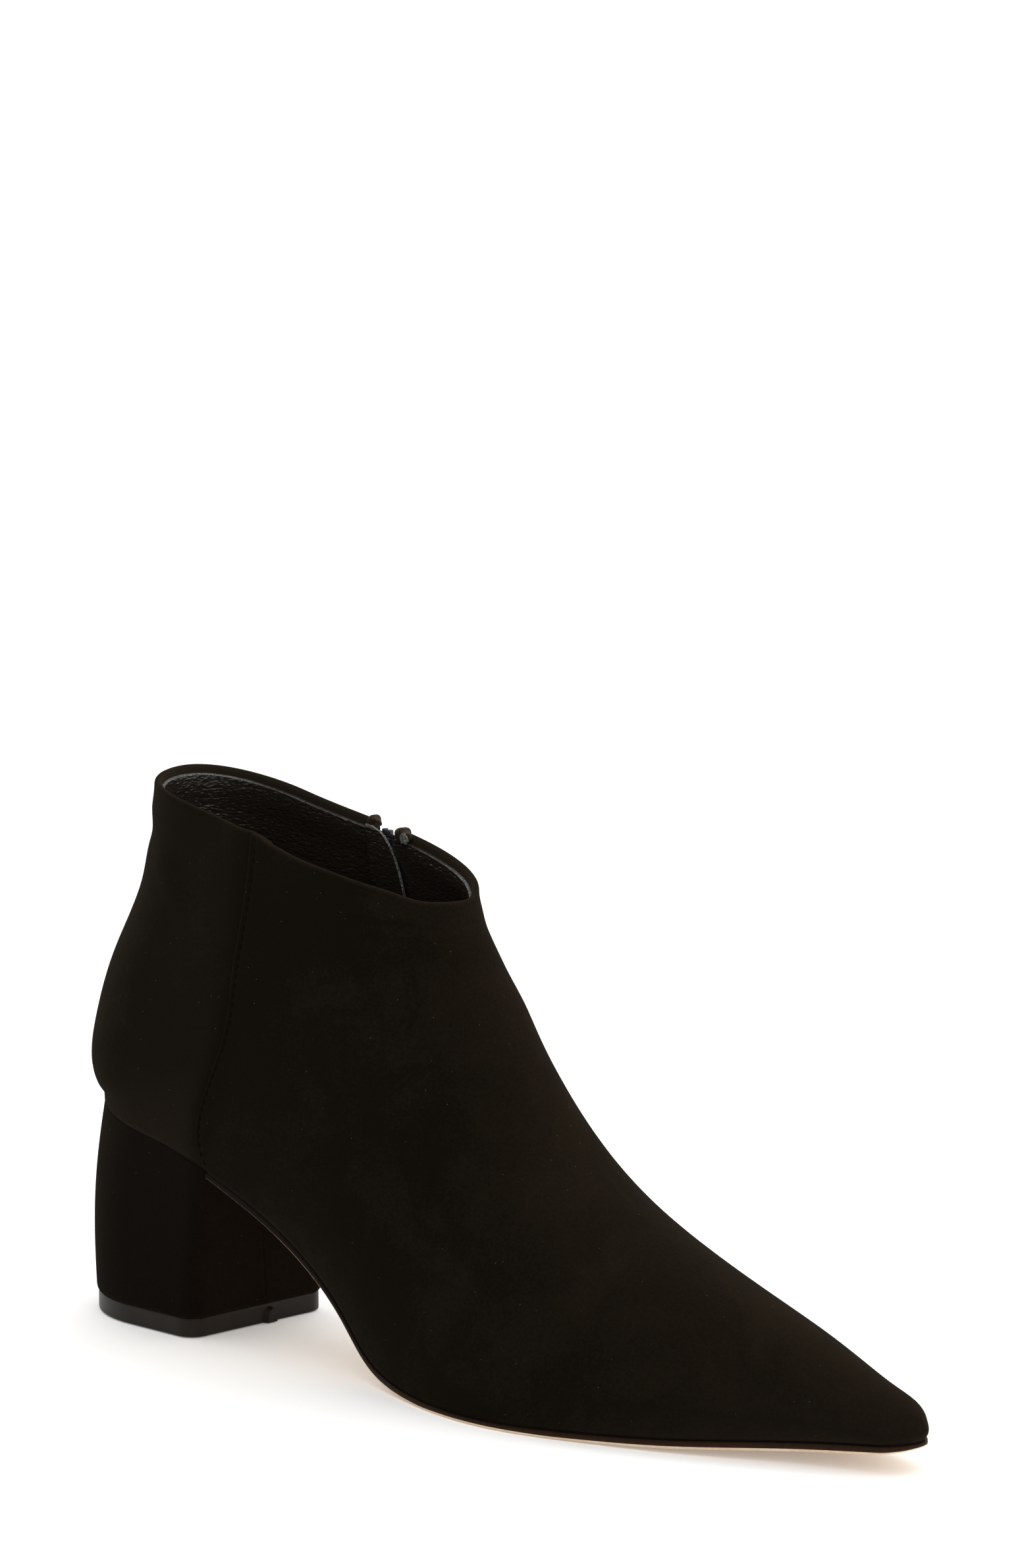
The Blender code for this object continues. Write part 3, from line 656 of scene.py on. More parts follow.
# Rear panel of the upper: the suede around the back of the heel, from the zip to the side seam, where
# its edge lies under the front panel. A stiff counter inside keeps it round.
REAR_ROWS, REAR_COLUMNS = 110, 56
LAP_SINK, LAP_SINK_REACH = 0.75, 7.0
# Painted light on the rear panel: a little over all of it, more in a band along the feather line at the
# counter.
REAR_LIGHT, COUNTER_LIGHT, COUNTER_LIGHT_REACH, SEAM_LIGHT_REACH = 0.1, 0.2, 22.0, 16.0


def slot_share(side, s, lap):
    """Share of section s by which the zip's slot and the missing lap set the rear panel back."""
    wide = slot_half(s) * (1 + lap / SLOT_HALF)
    return wide / section_long(s) if side == "medial" else np.zeros(np.shape(s))


def rear_grid(rows, columns, drop, lap=SEAM_LAP):
    """Grid of the rear panel, rows from feather line to collar, columns from medial to lateral border.

    With u from 0 at the back to 1 at the border, a column starts on the feather line at section
    heel - u (heel - foot) and climbs to the collar, at the share u (border - (1 - v) border at the
    start) of its section. Both borders are taken without the zip's slot, whose share is then taken
    off by u^4. u runs as a squared sine, so columns crowd at the back and at the border.
    """
    v = np.linspace(0, 1, rows)[:, None]
    u = np.sin(np.pi / 2 * np.linspace(0, 1, columns)) ** 2
    halves = []
    for side in ("medial", "lateral"):
        start = HEEL_ROW - (HEEL_ROW - foot_row("rear", side, lap)) * u
        top = u * border_share("rear", side, float(COLLAR_ROW), lap)
        s = start + v * (below_collar(top, side, drop) - start)
        border = border_share("rear", side, s, lap)
        slot = slot_share(side, s, lap)
        begin = border_share("rear", side, start, lap) + slot_share(side, start, lap)
        q = u * (border + slot - (1 - v) * begin) - u**4 * slot
        q = np.where(v == 0, 0, np.clip(q, 0, None))
        sign = np.full(s.shape, SIDE_SIGN[side])
        halves.append((last_point(s, q, side), (border - q) * section_span(s), s, sign))
    return [np.concatenate([left[:, ::-1], right[:, 1:]], axis=1) for left, right in zip(*halves)]


rear_points, rear_in, rear_s, rear_sign = rear_grid(REAR_ROWS, REAR_COLUMNS, COLLAR_FOLD)
rear_normals = outward(rear_points)
on_slot = np.where(rear_sign > 0, slot_half(rear_s) / SLOT_HALF, 0)
from_lap = rear_in - SEAM_LAP
feather_above = np.linspace(0, 1, REAR_ROWS)[:, None] * (BACK_Z[-1] - BACK_Z[0])
rear_relief = -LAP_SINK * (1 - on_slot) * (1 - ease(from_lap / LAP_SINK_REACH))
rear_relief -= ZIP_PRESS * on_slot * (1 - ease(rear_in / ZIP_PRESS_REACH))
rear_relief -= STITCH_DENT * on_slot * bell(rear_in - ZIP_STITCH_IN, STITCH_DENT_HALF)
rear_relief -= LASTING_TUCK * (1 - ease(feather_above / LASTING_REACH))
rear_relief += crease_relief(rear_points, rear_sign) * ease(rear_in / LAP_REACH)
rear_points = rear_points + rear_relief[..., None] * rear_normals
rear_normals = outward(rear_points)
rear_sheet = fold_borders(rear_points, rear_normals, EDGE_FOLD, EDGE_UNDER)
rear_sheet = roll_collar(rear_sheet, FOLD_COLUMNS, COLLAR_FOLD, COLLAR_UNDER)
# Painted light: the rear panel drawn lighter, more so low on the counter, fading out towards the side seam.
counter_light = np.zeros(rear_sheet.shape[:2])
light_share = REAR_LIGHT + COUNTER_LIGHT * (1 - ease(feather_above / COUNTER_LIGHT_REACH))
folds = slice(FOLD_COLUMNS, rear_sheet.shape[1] - FOLD_COLUMNS)
counter_light[:REAR_ROWS, folds] = light_share * ease(rear_in / SEAM_LIGHT_REACH)
rear_panel = add_piece(
    "upper_rear_panel",
    rear_sheet,
    grid_faces(*rear_sheet.shape[:2]),
    suede,
    sharp=80.0,
    marks={"scuff_and_painted_light": np.maximum(paint_collar_light(rear_sheet), counter_light)},
)
thicken(rear_panel, SUEDE_THICK)
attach(rear_panel, "shoe")
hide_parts("upper")

# Seams of the upper: lock stitches of black polyester thread beside the folded edge of the side seam,
# along both edges of the zip's slot and down the short seam under it, each sunk in its own dent.
STITCH_PITCH, STITCH_LONG, STITCH_RADIUS = 2.6, 2.0, 0.24
STITCH_SUNK = 0.06
SLOT_OPEN, SLOT_SHUT = 0.9 * SLOT_HALF, 0.1 * SLOT_HALF
STITCH_ACROSS, STITCH_AROUND = 7, 6


def line_at(points, normals, distances, at):
    """Point and normal of each row of a grid at a distance from its border, read between columns."""
    order = np.argsort(distances, axis=1)
    both = np.concatenate([points, normals], axis=-1)
    both = np.take_along_axis(both, order[..., None], axis=1)
    far = np.take_along_axis(distances, order, axis=1)
    k = np.clip((far < at).sum(axis=1), 1, far.shape[1] - 1)
    rows = np.arange(len(far))
    share = (at - far[rows, k - 1]) / (far[rows, k] - far[rows, k - 1])
    line = both[rows, k - 1] + share[:, None] * (both[rows, k] - both[rows, k - 1])
    return line[:, :3], line[:, 3:]


def run_along(line):
    """Length along a line of points, from its first."""
    return np.concatenate([[0], np.cumsum(np.linalg.norm(np.diff(line, axis=0), axis=1))])


def read_along(line, values, run):
    """Values given at the points of a line, read at lengths along it."""
    ends = run_along(line)
    return np.stack([np.interp(run, ends, column) for column in values.T], axis=-1)


def stitch_row(line, normals, skip=1.5):
    """Stitches along a line on the suede: each a thread whose radius and height swell from end to end."""
    long = run_along(line)[-1]
    middles = np.arange(skip, long - skip, STITCH_PITCH)
    share = np.linspace(0, 1, STITCH_ACROSS)
    run = middles[:, None] + (share - 0.5) * STITCH_LONG
    centre = read_along(line, line, run)
    up = unit(read_along(line, normals, run))
    way = unit(np.gradient(centre, axis=1))
    beside = unit(np.cross(way, up))
    swell = np.sqrt(np.clip(np.sin(np.pi * share), 0, None))[:, None, None]
    turn = np.linspace(0, 2 * np.pi, STITCH_AROUND, endpoint=False)[:, None]
    ring = beside[:, :, None] * np.cos(turn) + up[:, :, None] * np.sin(turn)
    lift = up[:, :, None] * (STITCH_RADIUS * swell - STITCH_SUNK - STITCH_RADIUS * (1 - swell))
    points = centre[:, :, None] + lift + STITCH_RADIUS * swell * ring
    block = STITCH_ACROSS * STITCH_AROUND
    faces = grid_faces(STITCH_ACROSS, STITCH_AROUND, around=True)
    faces = faces + block * np.arange(len(middles))[:, None, None]
    return points.reshape(-1, 3), faces.reshape(-1, 4)


def join(parts):
    """Points and faces of several shapes as one."""
    faces = []
    start = 0
    for points, shape in parts:
        faces += [[int(index) + start for index in face] for face in shape]
        start += len(points)
    return np.concatenate([points for points, _ in parts]), faces


def make_thread():
    """Polyester sewing thread, dyed black: two plies twisted at about 0.3 mm, matt."""
    material, tree, shader = new_material("polyester_thread_black", roughness=0.8, specular_ior_level=0.0)
    place = add_node(tree, "ShaderNodeTexCoord").outputs["Object"]
    plies = add_node(
        tree,
        "ShaderNodeTexWave",
        {"Vector": place, "Scale": 1000 / 0.5, "Distortion": 1.0},
        bands_direction="DIAGONAL",
    )
    tint = add_node(
        tree,
        "ShaderNodeMix",
        {"Factor": plies.outputs["Fac"], "A": linear("#0a0806"), "B": linear("#15110d")},
        data_type="RGBA",
    )
    tree.links.new(tint.outputs["Result"], shader.inputs["Base Color"])
    raised = add_node(
        tree, "ShaderNodeBump", {"Height": plies.outputs["Fac"], "Strength": 0.4, "Distance": 0.1 * MM}
    )
    tree.links.new(raised.outputs["Normal"], shader.inputs["Normal"])
    return material


half = front_points.shape[1] // 2
lateral_rows = front_s[:, 0] > foot_row("front", "lateral")
medial_rows = front_s[:, -1] > foot_row("front", "medial")
front_slot = slot_half(front_s[:, -1])
rear_slot = slot_half(rear_s[:, 0]) > SLOT_OPEN
thread = make_thread()
under_zip = medial_rows & (front_slot < SLOT_SHUT)
rear_half = rear_points.shape[1] // 2
front = front_points, front_normals, front_in
rear = rear_points, rear_normals, rear_in
# Side seam, front edge of the zip, seam under the zip and rear edge of the zip.
seam_places = [
    (front, lateral_rows, slice(half + 1), STITCH_IN),
    (front, front_slot > SLOT_OPEN, slice(half, None), ZIP_STITCH_IN),
    (front, under_zip, slice(half, None), STITCH_IN),
    (rear, rear_slot, slice(rear_half + 1), ZIP_STITCH_IN),
]
stitch_rows = []
for panel, rows, columns, at in seam_places:
    stitch_rows.append(stitch_row(*line_at(*[values[rows, columns] for values in panel], at)))
stitches = add_piece("upper_stitches", *join(stitch_rows), thread)
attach(stitches, "shoe")

# Lining: black grained kid leather glued inside the suede. Its top edge is left raw and sewn down a
# little under the collar's fold, so the grey cut shows as a thin line, and it is seamed at the back.
LINING_THICK = 0.7
LINING_DROP, LINING_CUT, LINING_CUT_DEEP = 2.6, 0.4, 0.75
LINING_DEEP, LINING_EDGE_DEEP = 1.9, 0.85
LINING_EASE_FROM, LINING_EASE_OVER = 2.0, 7.0
LINING_FOLD, LINING_UNDER = 0.25, 0.6
LINING_RAW, LINING_RAW_ENDS = 0.2, 0.8
LINING_RAW_AT, LINING_RAW_FROM, LINING_RAW_OVER = 68.0, 30.0, 16.0
LINING_SEAM_Y, LINING_SEAM_HALF, LINING_SEAM_RISE = 2.0, 1.1, 0.45
LINING_SEAM_BEHIND, LINING_LIP = 45.0, 0.04
LINING_SPACING, LINING_ROWS, LINING_COLUMNS = 2.6, 60, 40
# The first rows are left out at the nose, where the lining would come through the rounded suede.
LINING_FROM_ROW = 12


def line_inside(grid):
    """Grid of the lining's face: the upper's own grid moved in, more so under the collar, seen from inside.

    The first two rows run close along the feather line and take the normals of the third. The raw top
    edge is added as two rows that slope back to the suede and are marked as raw.
    """
    normals = outward(grid)
    normals[:2] = normals[2]
    step = np.linalg.norm(np.diff(grid, axis=0), axis=-1)
    below = np.concatenate([np.cumsum(step[::-1], axis=0)[::-1], np.zeros((1, grid.shape[1]))])
    deep = LINING_DEEP + LINING_EDGE_DEEP * (1 - ease((below - LINING_EASE_FROM) / LINING_EASE_OVER))
    at_back = bell(grid[..., 1] - LINING_SEAM_Y, LINING_SEAM_HALF) * (grid[..., 0] < LINING_SEAM_BEHIND)
    deep = deep + LINING_SEAM_RISE * at_back
    face = (grid - deep[..., None] * normals)[:, ::-1]
    face = fold_borders(face, outward(face), LINING_FOLD, LINING_UNDER)
    normal = outward(face[-3:])[-1]
    up = unit(face[-1] - face[-2])
    lip = face[-1] + LINING_LIP * up
    cut = face[-1] + LINING_CUT * up - LINING_CUT_DEEP * normal
    face = np.concatenate([face, lip[None], cut[None]])
    raw = np.zeros(face.shape[:2])
    from_middle = np.abs(face[-2:, :, 0] - LINING_RAW_AT)
    to_end = ease((from_middle - LINING_RAW_FROM) / LINING_RAW_OVER)
    raw[-2:] = LINING_RAW + LINING_RAW_ENDS * to_end
    return face, raw


def make_lining_leather(name):
    """Grained kid leather, dyed black: flat pebbles 1.5 mm long with fine wrinkles, a soft shine.

    Where the attribute raw_edge is 1 the cut fibres show grey, speckled with dye.
    """
    material, tree, shader = new_material(name, specular_ior_level=0.5)
    place = add_node(tree, "ShaderNodeTexCoord").outputs["Object"]
    level = add_node(tree, "ShaderNodeMapping", {"Vector": place, "Scale": (1.0, 1.0, 2.4)}).outputs[0]
    pebbles = add_node(
        tree,
        "ShaderNodeTexVoronoi",
        {"Vector": level, "Scale": 1000 / 1.5, "Randomness": 0.9},
        feature="SMOOTH_F1",
    )
    wrinkles = add_node(
        tree,
        "ShaderNodeTexNoise",
        {"Vector": level, "Scale": 1000 / 2.2, "Detail": 1.0, "Distortion": 0.8},
    )
    fibres = add_node(tree, "ShaderNodeTexNoise", {"Vector": place, "Scale": 1000 / 0.5, "Detail": 2.0})
    dyed = add_node(
        tree,
        "ShaderNodeMix",
        {"Factor": wrinkles.outputs["Fac"], "A": linear("#1c1813"), "B": linear("#28211a")},
        data_type="RGBA",
    )
    speckle = add_node(
        tree,
        "ShaderNodeMapRange",
        {"Value": fibres.outputs["Fac"], "From Min": 0.38, "From Max": 0.62},
    )
    cut = add_node(
        tree,
        "ShaderNodeMix",
        {"Factor": speckle.outputs[0], "A": linear("#33332f"), "B": linear("#6f716d")},
        data_type="RGBA",
    )
    raw = add_node(tree, "ShaderNodeAttribute", attribute_name="raw_edge").outputs["Fac"]
    colour = add_node(
        tree,
        "ShaderNodeMix",
        {"Factor": raw, "A": dyed.outputs["Result"], "B": cut.outputs["Result"]},
        data_type="RGBA",
    )
    tree.links.new(colour.outputs["Result"], shader.inputs["Base Color"])
    gloss = add_node(
        tree,
        "ShaderNodeMapRange",
        {"Value": raw, "To Min": 0.26, "To Max": 0.9},
    )
    tree.links.new(gloss.outputs[0], shader.inputs["Roughness"])
    height = add_node(
        tree,
        "ShaderNodeMath",
        {0: wrinkles.outputs["Fac"], 1: pebbles.outputs["Distance"]},
        operation="SUBTRACT",
    )
    raised = add_node(
        tree, "ShaderNodeBump", {"Height": height.outputs[0], "Strength": 0.8, "Distance": 0.28 * MM}
    )
    tree.links.new(raised.outputs["Normal"], shader.inputs["Normal"])
    return material


lining_leather = make_lining_leather("kid_leather_lining_black")
lining_grids = {
    "lining_front": front_grid(LINING_SPACING, LINING_COLUMNS, LINING_DROP)[0][LINING_FROM_ROW:],
    "lining_rear": rear_grid(LINING_ROWS, LINING_COLUMNS, LINING_DROP, lap=0.0)[0],
}
for name, grid in lining_grids.items():
    face, raw = line_inside(grid)
    lining = add_piece(
        name, face, grid_faces(*face.shape[:2]), lining_leather, sharp=50.0, marks={"raw_edge": raw}
    )
    thicken(lining, LINING_THICK)
    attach(lining, "shoe")
    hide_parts("upper")

# Zip tapes: two narrow strips of black woven polyester, one sewn behind each edge of the slot.
# Only their inner edges show, on both sides of the coil.
TAPE_INNER, TAPE_OUTER = 1.5, 4.1
TAPE_DEEP, TAPE_THICK = 1.0, 0.5
TAPE_FROM, TAPE_END_CLEAR = 2.4, 1.0
TAPE_STATIONS = 70
# The bands of a wave texture lie 0.314 / scale apart.
TAPE_WAVES = 1000 / 0.5 / 6.3
TANGENT_STEP = 0.4
ZIP_ROWS = np.linspace(COLLAR_ROW, ZIP_LAST_ROW, 400)


def on_medial_wall(s, x):
    """Point of the medial wall on section s at the given x."""
    rear_x = section("rear_x", s)
    return last_point(s, np.clip((x - rear_x) / section_long(s), 0, 1), "medial")


ZIP_LINE = on_medial_wall(ZIP_ROWS, zip_x(ZIP_ROWS))
ZIP_RUN = run_along(ZIP_LINE)
ZIP_LONG = float(np.interp(-ZIP_BOTTOM_Z, -ZIP_LINE[:, 2], ZIP_RUN))


def zip_point(run, across, deep):
    """Point at a run down the zip from the collar, across it towards the toe, and deep in the wall."""
    run, across, deep = np.broadcast_arrays(*(np.asarray(a, float) for a in (run, across, deep)))

    def surface(v, u):
        s = np.interp(v, ZIP_RUN, ZIP_ROWS)
        return on_medial_wall(s, zip_x(s) + u)

    inside = np.clip(run, TANGENT_STEP, None)
    down = unit(surface(inside + TANGENT_STEP, across) - surface(inside - TANGENT_STEP, across))
    toward_toe = surface(inside, across + TANGENT_STEP) - surface(inside, across - TANGENT_STEP)
    out = unit(np.cross(toward_toe, down))
    return surface(inside, across) + (run - inside)[..., None] * down - deep[..., None] * out


def tube(rings):
    """Points and faces of a closed body through rings of points, with a face over each end."""
    count, around = rings.shape[:2]
    faces = grid_faces(count, around, around=True).tolist()
    first = np.arange(around)
    return rings.reshape(-1, 3), [*faces, first[::-1].tolist(), (first + (count - 1) * around).tolist()]


def make_tape_cloth():
    """Twill tape of polyester, dyed black: threads 0.5 mm apart both ways, drawn at 1 mm, matt."""
    material, tree, shader = new_material(
        "polyester_tape_black", roughness=0.85, specular_ior_level=0.2, sheen_weight=0.05
    )
    place = add_node(tree, "ShaderNodeTexCoord").outputs["Object"]
    threads = {"Vector": place, "Scale": TAPE_WAVES, "Distortion": 0.3}
    warp, weft = [add_node(tree, "ShaderNodeTexWave", threads, bands_direction=way) for way in "ZX"]
    weave = add_node(
        tree, "ShaderNodeMath", {0: warp.outputs["Fac"], 1: weft.outputs["Fac"]}, operation="MULTIPLY"
    )
    tint = add_node(
        tree,
        "ShaderNodeMix",
        {"Factor": weave.outputs[0], "A": linear("#0d0d0e"), "B": linear("#26262a")},
        data_type="RGBA",
    )
    tree.links.new(tint.outputs["Result"], shader.inputs["Base Color"])
    raised = add_node(
        tree, "ShaderNodeBump", {"Height": weave.outputs[0], "Strength": 0.5, "Distance": 0.15 * MM}
    )
    tree.links.new(raised.outputs["Normal"], shader.inputs["Normal"])
    return material


tape_cloth = make_tape_cloth()
tape_run = np.linspace(TAPE_FROM, ZIP_LONG - TAPE_END_CLEAR, TAPE_STATIONS)[:, None]
tape_across = np.array([0.0, 0.15, 0.5, 0.85, 1.0, 1.0, 0.85, 0.5, 0.15, 0.0])
tape_deep = np.array([0.15, 0.0, 0.0, 0.0, 0.15, 0.85, 1.0, 1.0, 1.0, 0.85])
for name, sign in (("zip_tape_rear", -1), ("zip_tape_front", 1)):
    across = sign * (TAPE_INNER + (TAPE_OUTER - TAPE_INNER) * tape_across)
    rings = zip_point(tape_run, across, TAPE_DEEP + TAPE_THICK * tape_deep)
    points, faces = tube(rings if sign < 0 else rings[:, ::-1])
    tape = add_piece(name + "_woven", points, faces, tape_cloth)
    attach(tape, "shoe")
    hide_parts(name)

# Zip coil: two nylon wires wound into loops that hook into each other from both sides, closed from
# top to foot, with a small clamped stop at the top of each tape.
COIL_PITCH, COIL_RADIUS = 1.25, 0.31
COIL_FROM, COIL_END_CLEAR = 3.0, 2.0
LOOP_ACROSS = [1.75, 1.65, 1.1, 0.2, -0.45, -0.6, -0.35]
LOOP_DEEP = [1.6, 0.85, 0.5, 0.48, 0.7, 1.1, 1.5]
COIL_AROUND = 6
STOP_AT, STOP_ACROSS, STOP_DEEP = 2.4, 0.9, 0.9
STOP_HALF = (0.75, 1.0, 0.7)


def sweep(path, radius, around, beside):
    """Tubes along many paths at once: rings square to each path, started from a given sideways way."""
    way = unit(np.gradient(path, axis=-2))
    first = unit(np.cross(beside, way))
    second = np.cross(way, first)
    turn = np.linspace(0, 2 * np.pi, around, endpoint=False)[:, None]
    ring = first[..., None, :] * np.cos(turn) + second[..., None, :] * np.sin(turn)
    return path[..., None, :] + radius * ring


def pillow(centre, axes, halves, square=(0.5, 0.6), rows=14, around=24, ripple=0.0):
    """A closed cushion shape between box and ball: powers of sines and cosines along three axes.

    The ripple swells and pinches it around, as in gathered leather.
    """
    tilt = np.linspace(0, np.pi, rows)[:, None]
    turn = np.linspace(0, 2 * np.pi, around, endpoint=False)

    def power(value, exponent):
        return np.sign(value) * np.abs(value) ** exponent

    ring = power(np.sin(tilt), square[0])
    swell = 1 + ripple * np.sin(5 * turn + 3 * tilt) * np.sin(tilt)
    x = ring * power(np.cos(turn), square[1]) * swell
    y = ring * power(np.sin(turn), square[1]) * swell
    z = power(np.cos(tilt), square[0]) + 0 * turn
    local = np.stack([x, y, z], axis=-1) * np.array(halves)
    points = np.asarray(centre) + local @ np.asarray(axes)
    return points.reshape(-1, 3), grid_faces(rows, around, around=True)[:, ::-1]


def make_coil_nylon():
    """Drawn nylon wire, dyed black: smooth with a low shine and faint streaks of about 0.6 mm."""
    material, tree, shader = new_material("nylon_coil_black", specular_ior_level=0.5)
    place = add_node(tree, "ShaderNodeTexCoord").outputs["Object"]
    streaks = add_node(tree, "ShaderNodeTexNoise", {"Vector": place, "Scale": 1000 / 0.6, "Detail": 2.0})
    tint = add_node(
        tree,
        "ShaderNodeMix",
        {"Factor": streaks.outputs["Fac"], "A": linear("#141416"), "B": linear("#2b2b2f")},
        data_type="RGBA",
    )
    tree.links.new(tint.outputs["Result"], shader.inputs["Base Color"])
    gloss = add_node(
        tree,
        "ShaderNodeMapRange",
        {"Value": streaks.outputs["Fac"], "To Min": 0.32, "To Max": 0.55},
    )
    tree.links.new(gloss.outputs[0], shader.inputs["Roughness"])
    return material


coil_nylon = make_coil_nylon()
loops = np.arange(COIL_FROM, ZIP_LONG - COIL_END_CLEAR, COIL_PITCH)
coil_parts = []
for sign, offset in ((-1, 0.0), (1, COIL_PITCH / 2)):
    path = zip_point((loops + offset)[:, None], sign * np.array(LOOP_ACROSS), np.array(LOOP_DEEP))
    down = unit(zip_point(loops + offset + 1, 0.0, 0.0) - zip_point(loops + offset, 0.0, 0.0))
    wires = sweep(path, COIL_RADIUS, COIL_AROUND, down[:, None])
    if sign < 0:
        wires = wires[:, :, ::-1]
    for wire in wires:
        coil_parts.append(tube(wire))
coil = add_piece("zip_coil", *join(coil_parts), coil_nylon)
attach(coil, "shoe")
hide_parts("zip_chain")


def zip_axes(run):
    """Directions at a run down the zip: towards the heel, up, and out of the shoe."""
    here = zip_point(run, 0.0, 0.0)
    up = unit(here - zip_point(run + 1, 0.0, 0.0))
    toe = unit(zip_point(run, 1.0, 0.0) - here)
    out = unit(np.cross(up, toe))
    return np.array([np.cross(up, out), up, out])


stop_shapes = []
for sign in (-1, 1):
    centre = zip_point(STOP_AT, sign * STOP_ACROSS, STOP_DEEP)
    stop_shapes.append(pillow(centre, zip_axes(STOP_AT), STOP_HALF, square=(0.4, 0.4)))
stops = add_piece("zip_top_stops", *join(stop_shapes), coil_nylon)
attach(stops, "shoe")

# Zip guard: a thin flap of the lining leather behind the zip, sewn in along the rear edge of the slot.
# Its free edge is cut in a curve at the top and left raw, so that it shows inside as a light line.
GUARD_FROM, GUARD_SEWN_AT = 1.2, -6.0
GUARD_EDGE_TOP, GUARD_EDGE, GUARD_CURVE = -3.8, 6.5, 18.0
GUARD_DEEP, GUARD_THICK, GUARD_RAW, GUARD_RAW_SHARE = 3.2, 0.7, 0.3, 0.9
GUARD_ROWS, GUARD_COLUMNS, GUARD_PAST = 90, 14, 1.0
guard_run = np.linspace(GUARD_FROM, ZIP_LONG + GUARD_PAST, GUARD_ROWS)[:, None]
guard_edge = quarter_round(guard_run - GUARD_FROM, GUARD_CURVE)
guard_edge = GUARD_EDGE_TOP + (GUARD_EDGE - GUARD_EDGE_TOP) * guard_edge
guard_share = np.linspace(0, 1, GUARD_COLUMNS)
guard_across = GUARD_SEWN_AT + guard_share * (guard_edge - GUARD_RAW - GUARD_SEWN_AT)
guard_cut = guard_edge - GUARD_RAW * GUARD_RAW_SHARE
guard_across = np.concatenate([guard_across, guard_cut, guard_edge], axis=1)
guard_face = zip_point(guard_run, guard_across, GUARD_DEEP)[:, ::-1]
guard_raw = np.zeros(guard_face.shape[:2])
guard_raw[:, :2] = 1.0
guard = add_piece(
    "zip_guard",
    guard_face,
    grid_faces(*guard_face.shape[:2]),
    lining_leather,
    sharp=50.0,
    marks={"raw_edge": guard_raw},
)
thicken(guard, GUARD_THICK)
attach(guard, "shoe")

# Collar corners at the zip: where the folded collar meets the folded edges of the slot, the suede of
# both folds is bunched into a small knob that is hammered flat and glued. On the front one the cut end
# of the lining shows as a grey spot.
KNOB_AXES_AT, KNOB_SQUARE, KNOB_RIPPLE = 1.0, (0.8, 0.85), 0.14
# Each knob: across the zip, down from the collar, deep in the wall, and its half sizes.
KNOB_PLACES = [(-4.5, 0.7, 1.1, (2.0, 1.9, 1.4)), (7.6, 0.9, 2.4, (2.6, 2.2, 1.6))]
RAW_END_PLACE, RAW_END_HALF = (9.0, 1.2, 3.5), (1.1, 1.5, 0.7)
knob_axes = zip_axes(KNOB_AXES_AT)
knobs = []
for across_zip, down, deep, halves in KNOB_PLACES:
    centre = zip_point(down, across_zip, deep)
    knobs.append(pillow(centre, knob_axes, halves, square=KNOB_SQUARE, ripple=KNOB_RIPPLE))
frayed_suede = make_suede("goat_suede_edges_frayed", "#272019", "#463d34")
corner_knobs = add_piece("collar_corner_knobs", *join(knobs), frayed_suede)
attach(corner_knobs, "shoe")
across_zip, down, deep = RAW_END_PLACE
end_centre = zip_point(down, across_zip, deep)
end_points, end_faces = pillow(end_centre, knob_axes, RAW_END_HALF, ripple=KNOB_RIPPLE)
end_marks = {"raw_edge": np.ones(len(end_points))}
raw_end = add_piece("lining_raw_end", end_points, end_faces, lining_leather, marks=end_marks)
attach(raw_end, "shoe")

# Zip slider: die-cast zinc with a dark nickel plating. A rounded plate holds the coil together, and a
# bridge cast along it carries the pull tab. It sits at the top of the closed zip.
SLIDER_AT = 8.5
SLIDER_HALF = (3.0, 4.75, 0.8)
SLIDER_MIDDLE, SLIDER_TAPER = 0.4, 0.14
BRIDGE_HALF_LONG, BRIDGE_FOOT, BRIDGE_RISE = 3.05, 0.9, 3.05
BRIDGE_HALF, BRIDGE_HALF_THICK = 0.8, 0.45
BRIDGE_SQUARE = 0.55
ARCH_STATIONS, BAR_AROUND = 33, 16
PULL_OUT = 2.4


def rounded_ring(half_wide, half_thick, count, square=0.6):
    """Outline of a bar with rounded corners: powers of cosine and sine times its half sizes."""
    turn = np.linspace(0, 2 * np.pi, count, endpoint=False)
    wide = half_wide * np.sign(np.cos(turn)) * np.abs(np.cos(turn)) ** square
    thick = half_thick * np.sign(np.sin(turn)) * np.abs(np.sin(turn)) ** square
    return wide, thick


def make_nickel():
    """Dark nickel plating on zinc, tumbled smooth: a metal with soft smudges and fine scratches."""
    material, tree, shader = new_material("zinc_dark_nickel_plated", metallic=1.0)
    place = add_node(tree, "ShaderNodeTexCoord").outputs["Object"]
    smudge = add_node(tree, "ShaderNodeTexNoise", {"Vector": place, "Scale": 1000 / 3, "Detail": 3.0})
    tint = add_node(
        tree,
        "ShaderNodeMix",
        {"Factor": smudge.outputs["Fac"], "A": linear("#77767a"), "B": linear("#9a999c")},
        data_type="RGBA",
    )
    tree.links.new(tint.outputs["Result"], shader.inputs["Base Color"])
    gloss = add_node(
        tree, "ShaderNodeMapRange", {"Value": smudge.outputs["Fac"], "To Min": 0.18, "To Max": 0.42}
    )
    tree.links.new(gloss.outputs[0], shader.inputs["Roughness"])
    scratch = add_node(
        tree,
        "ShaderNodeTexNoise",
        {"Vector": place, "Scale": 1000 / 0.5, "Detail": 2.0, "Distortion": 2.0},
    )
    raised = add_node(
        tree,
        "ShaderNodeBump",
        {"Height": scratch.outputs["Fac"], "Strength": 0.12, "Distance": 0.05 * MM},
    )
    tree.links.new(raised.outputs["Normal"], shader.inputs["Normal"])
    return material


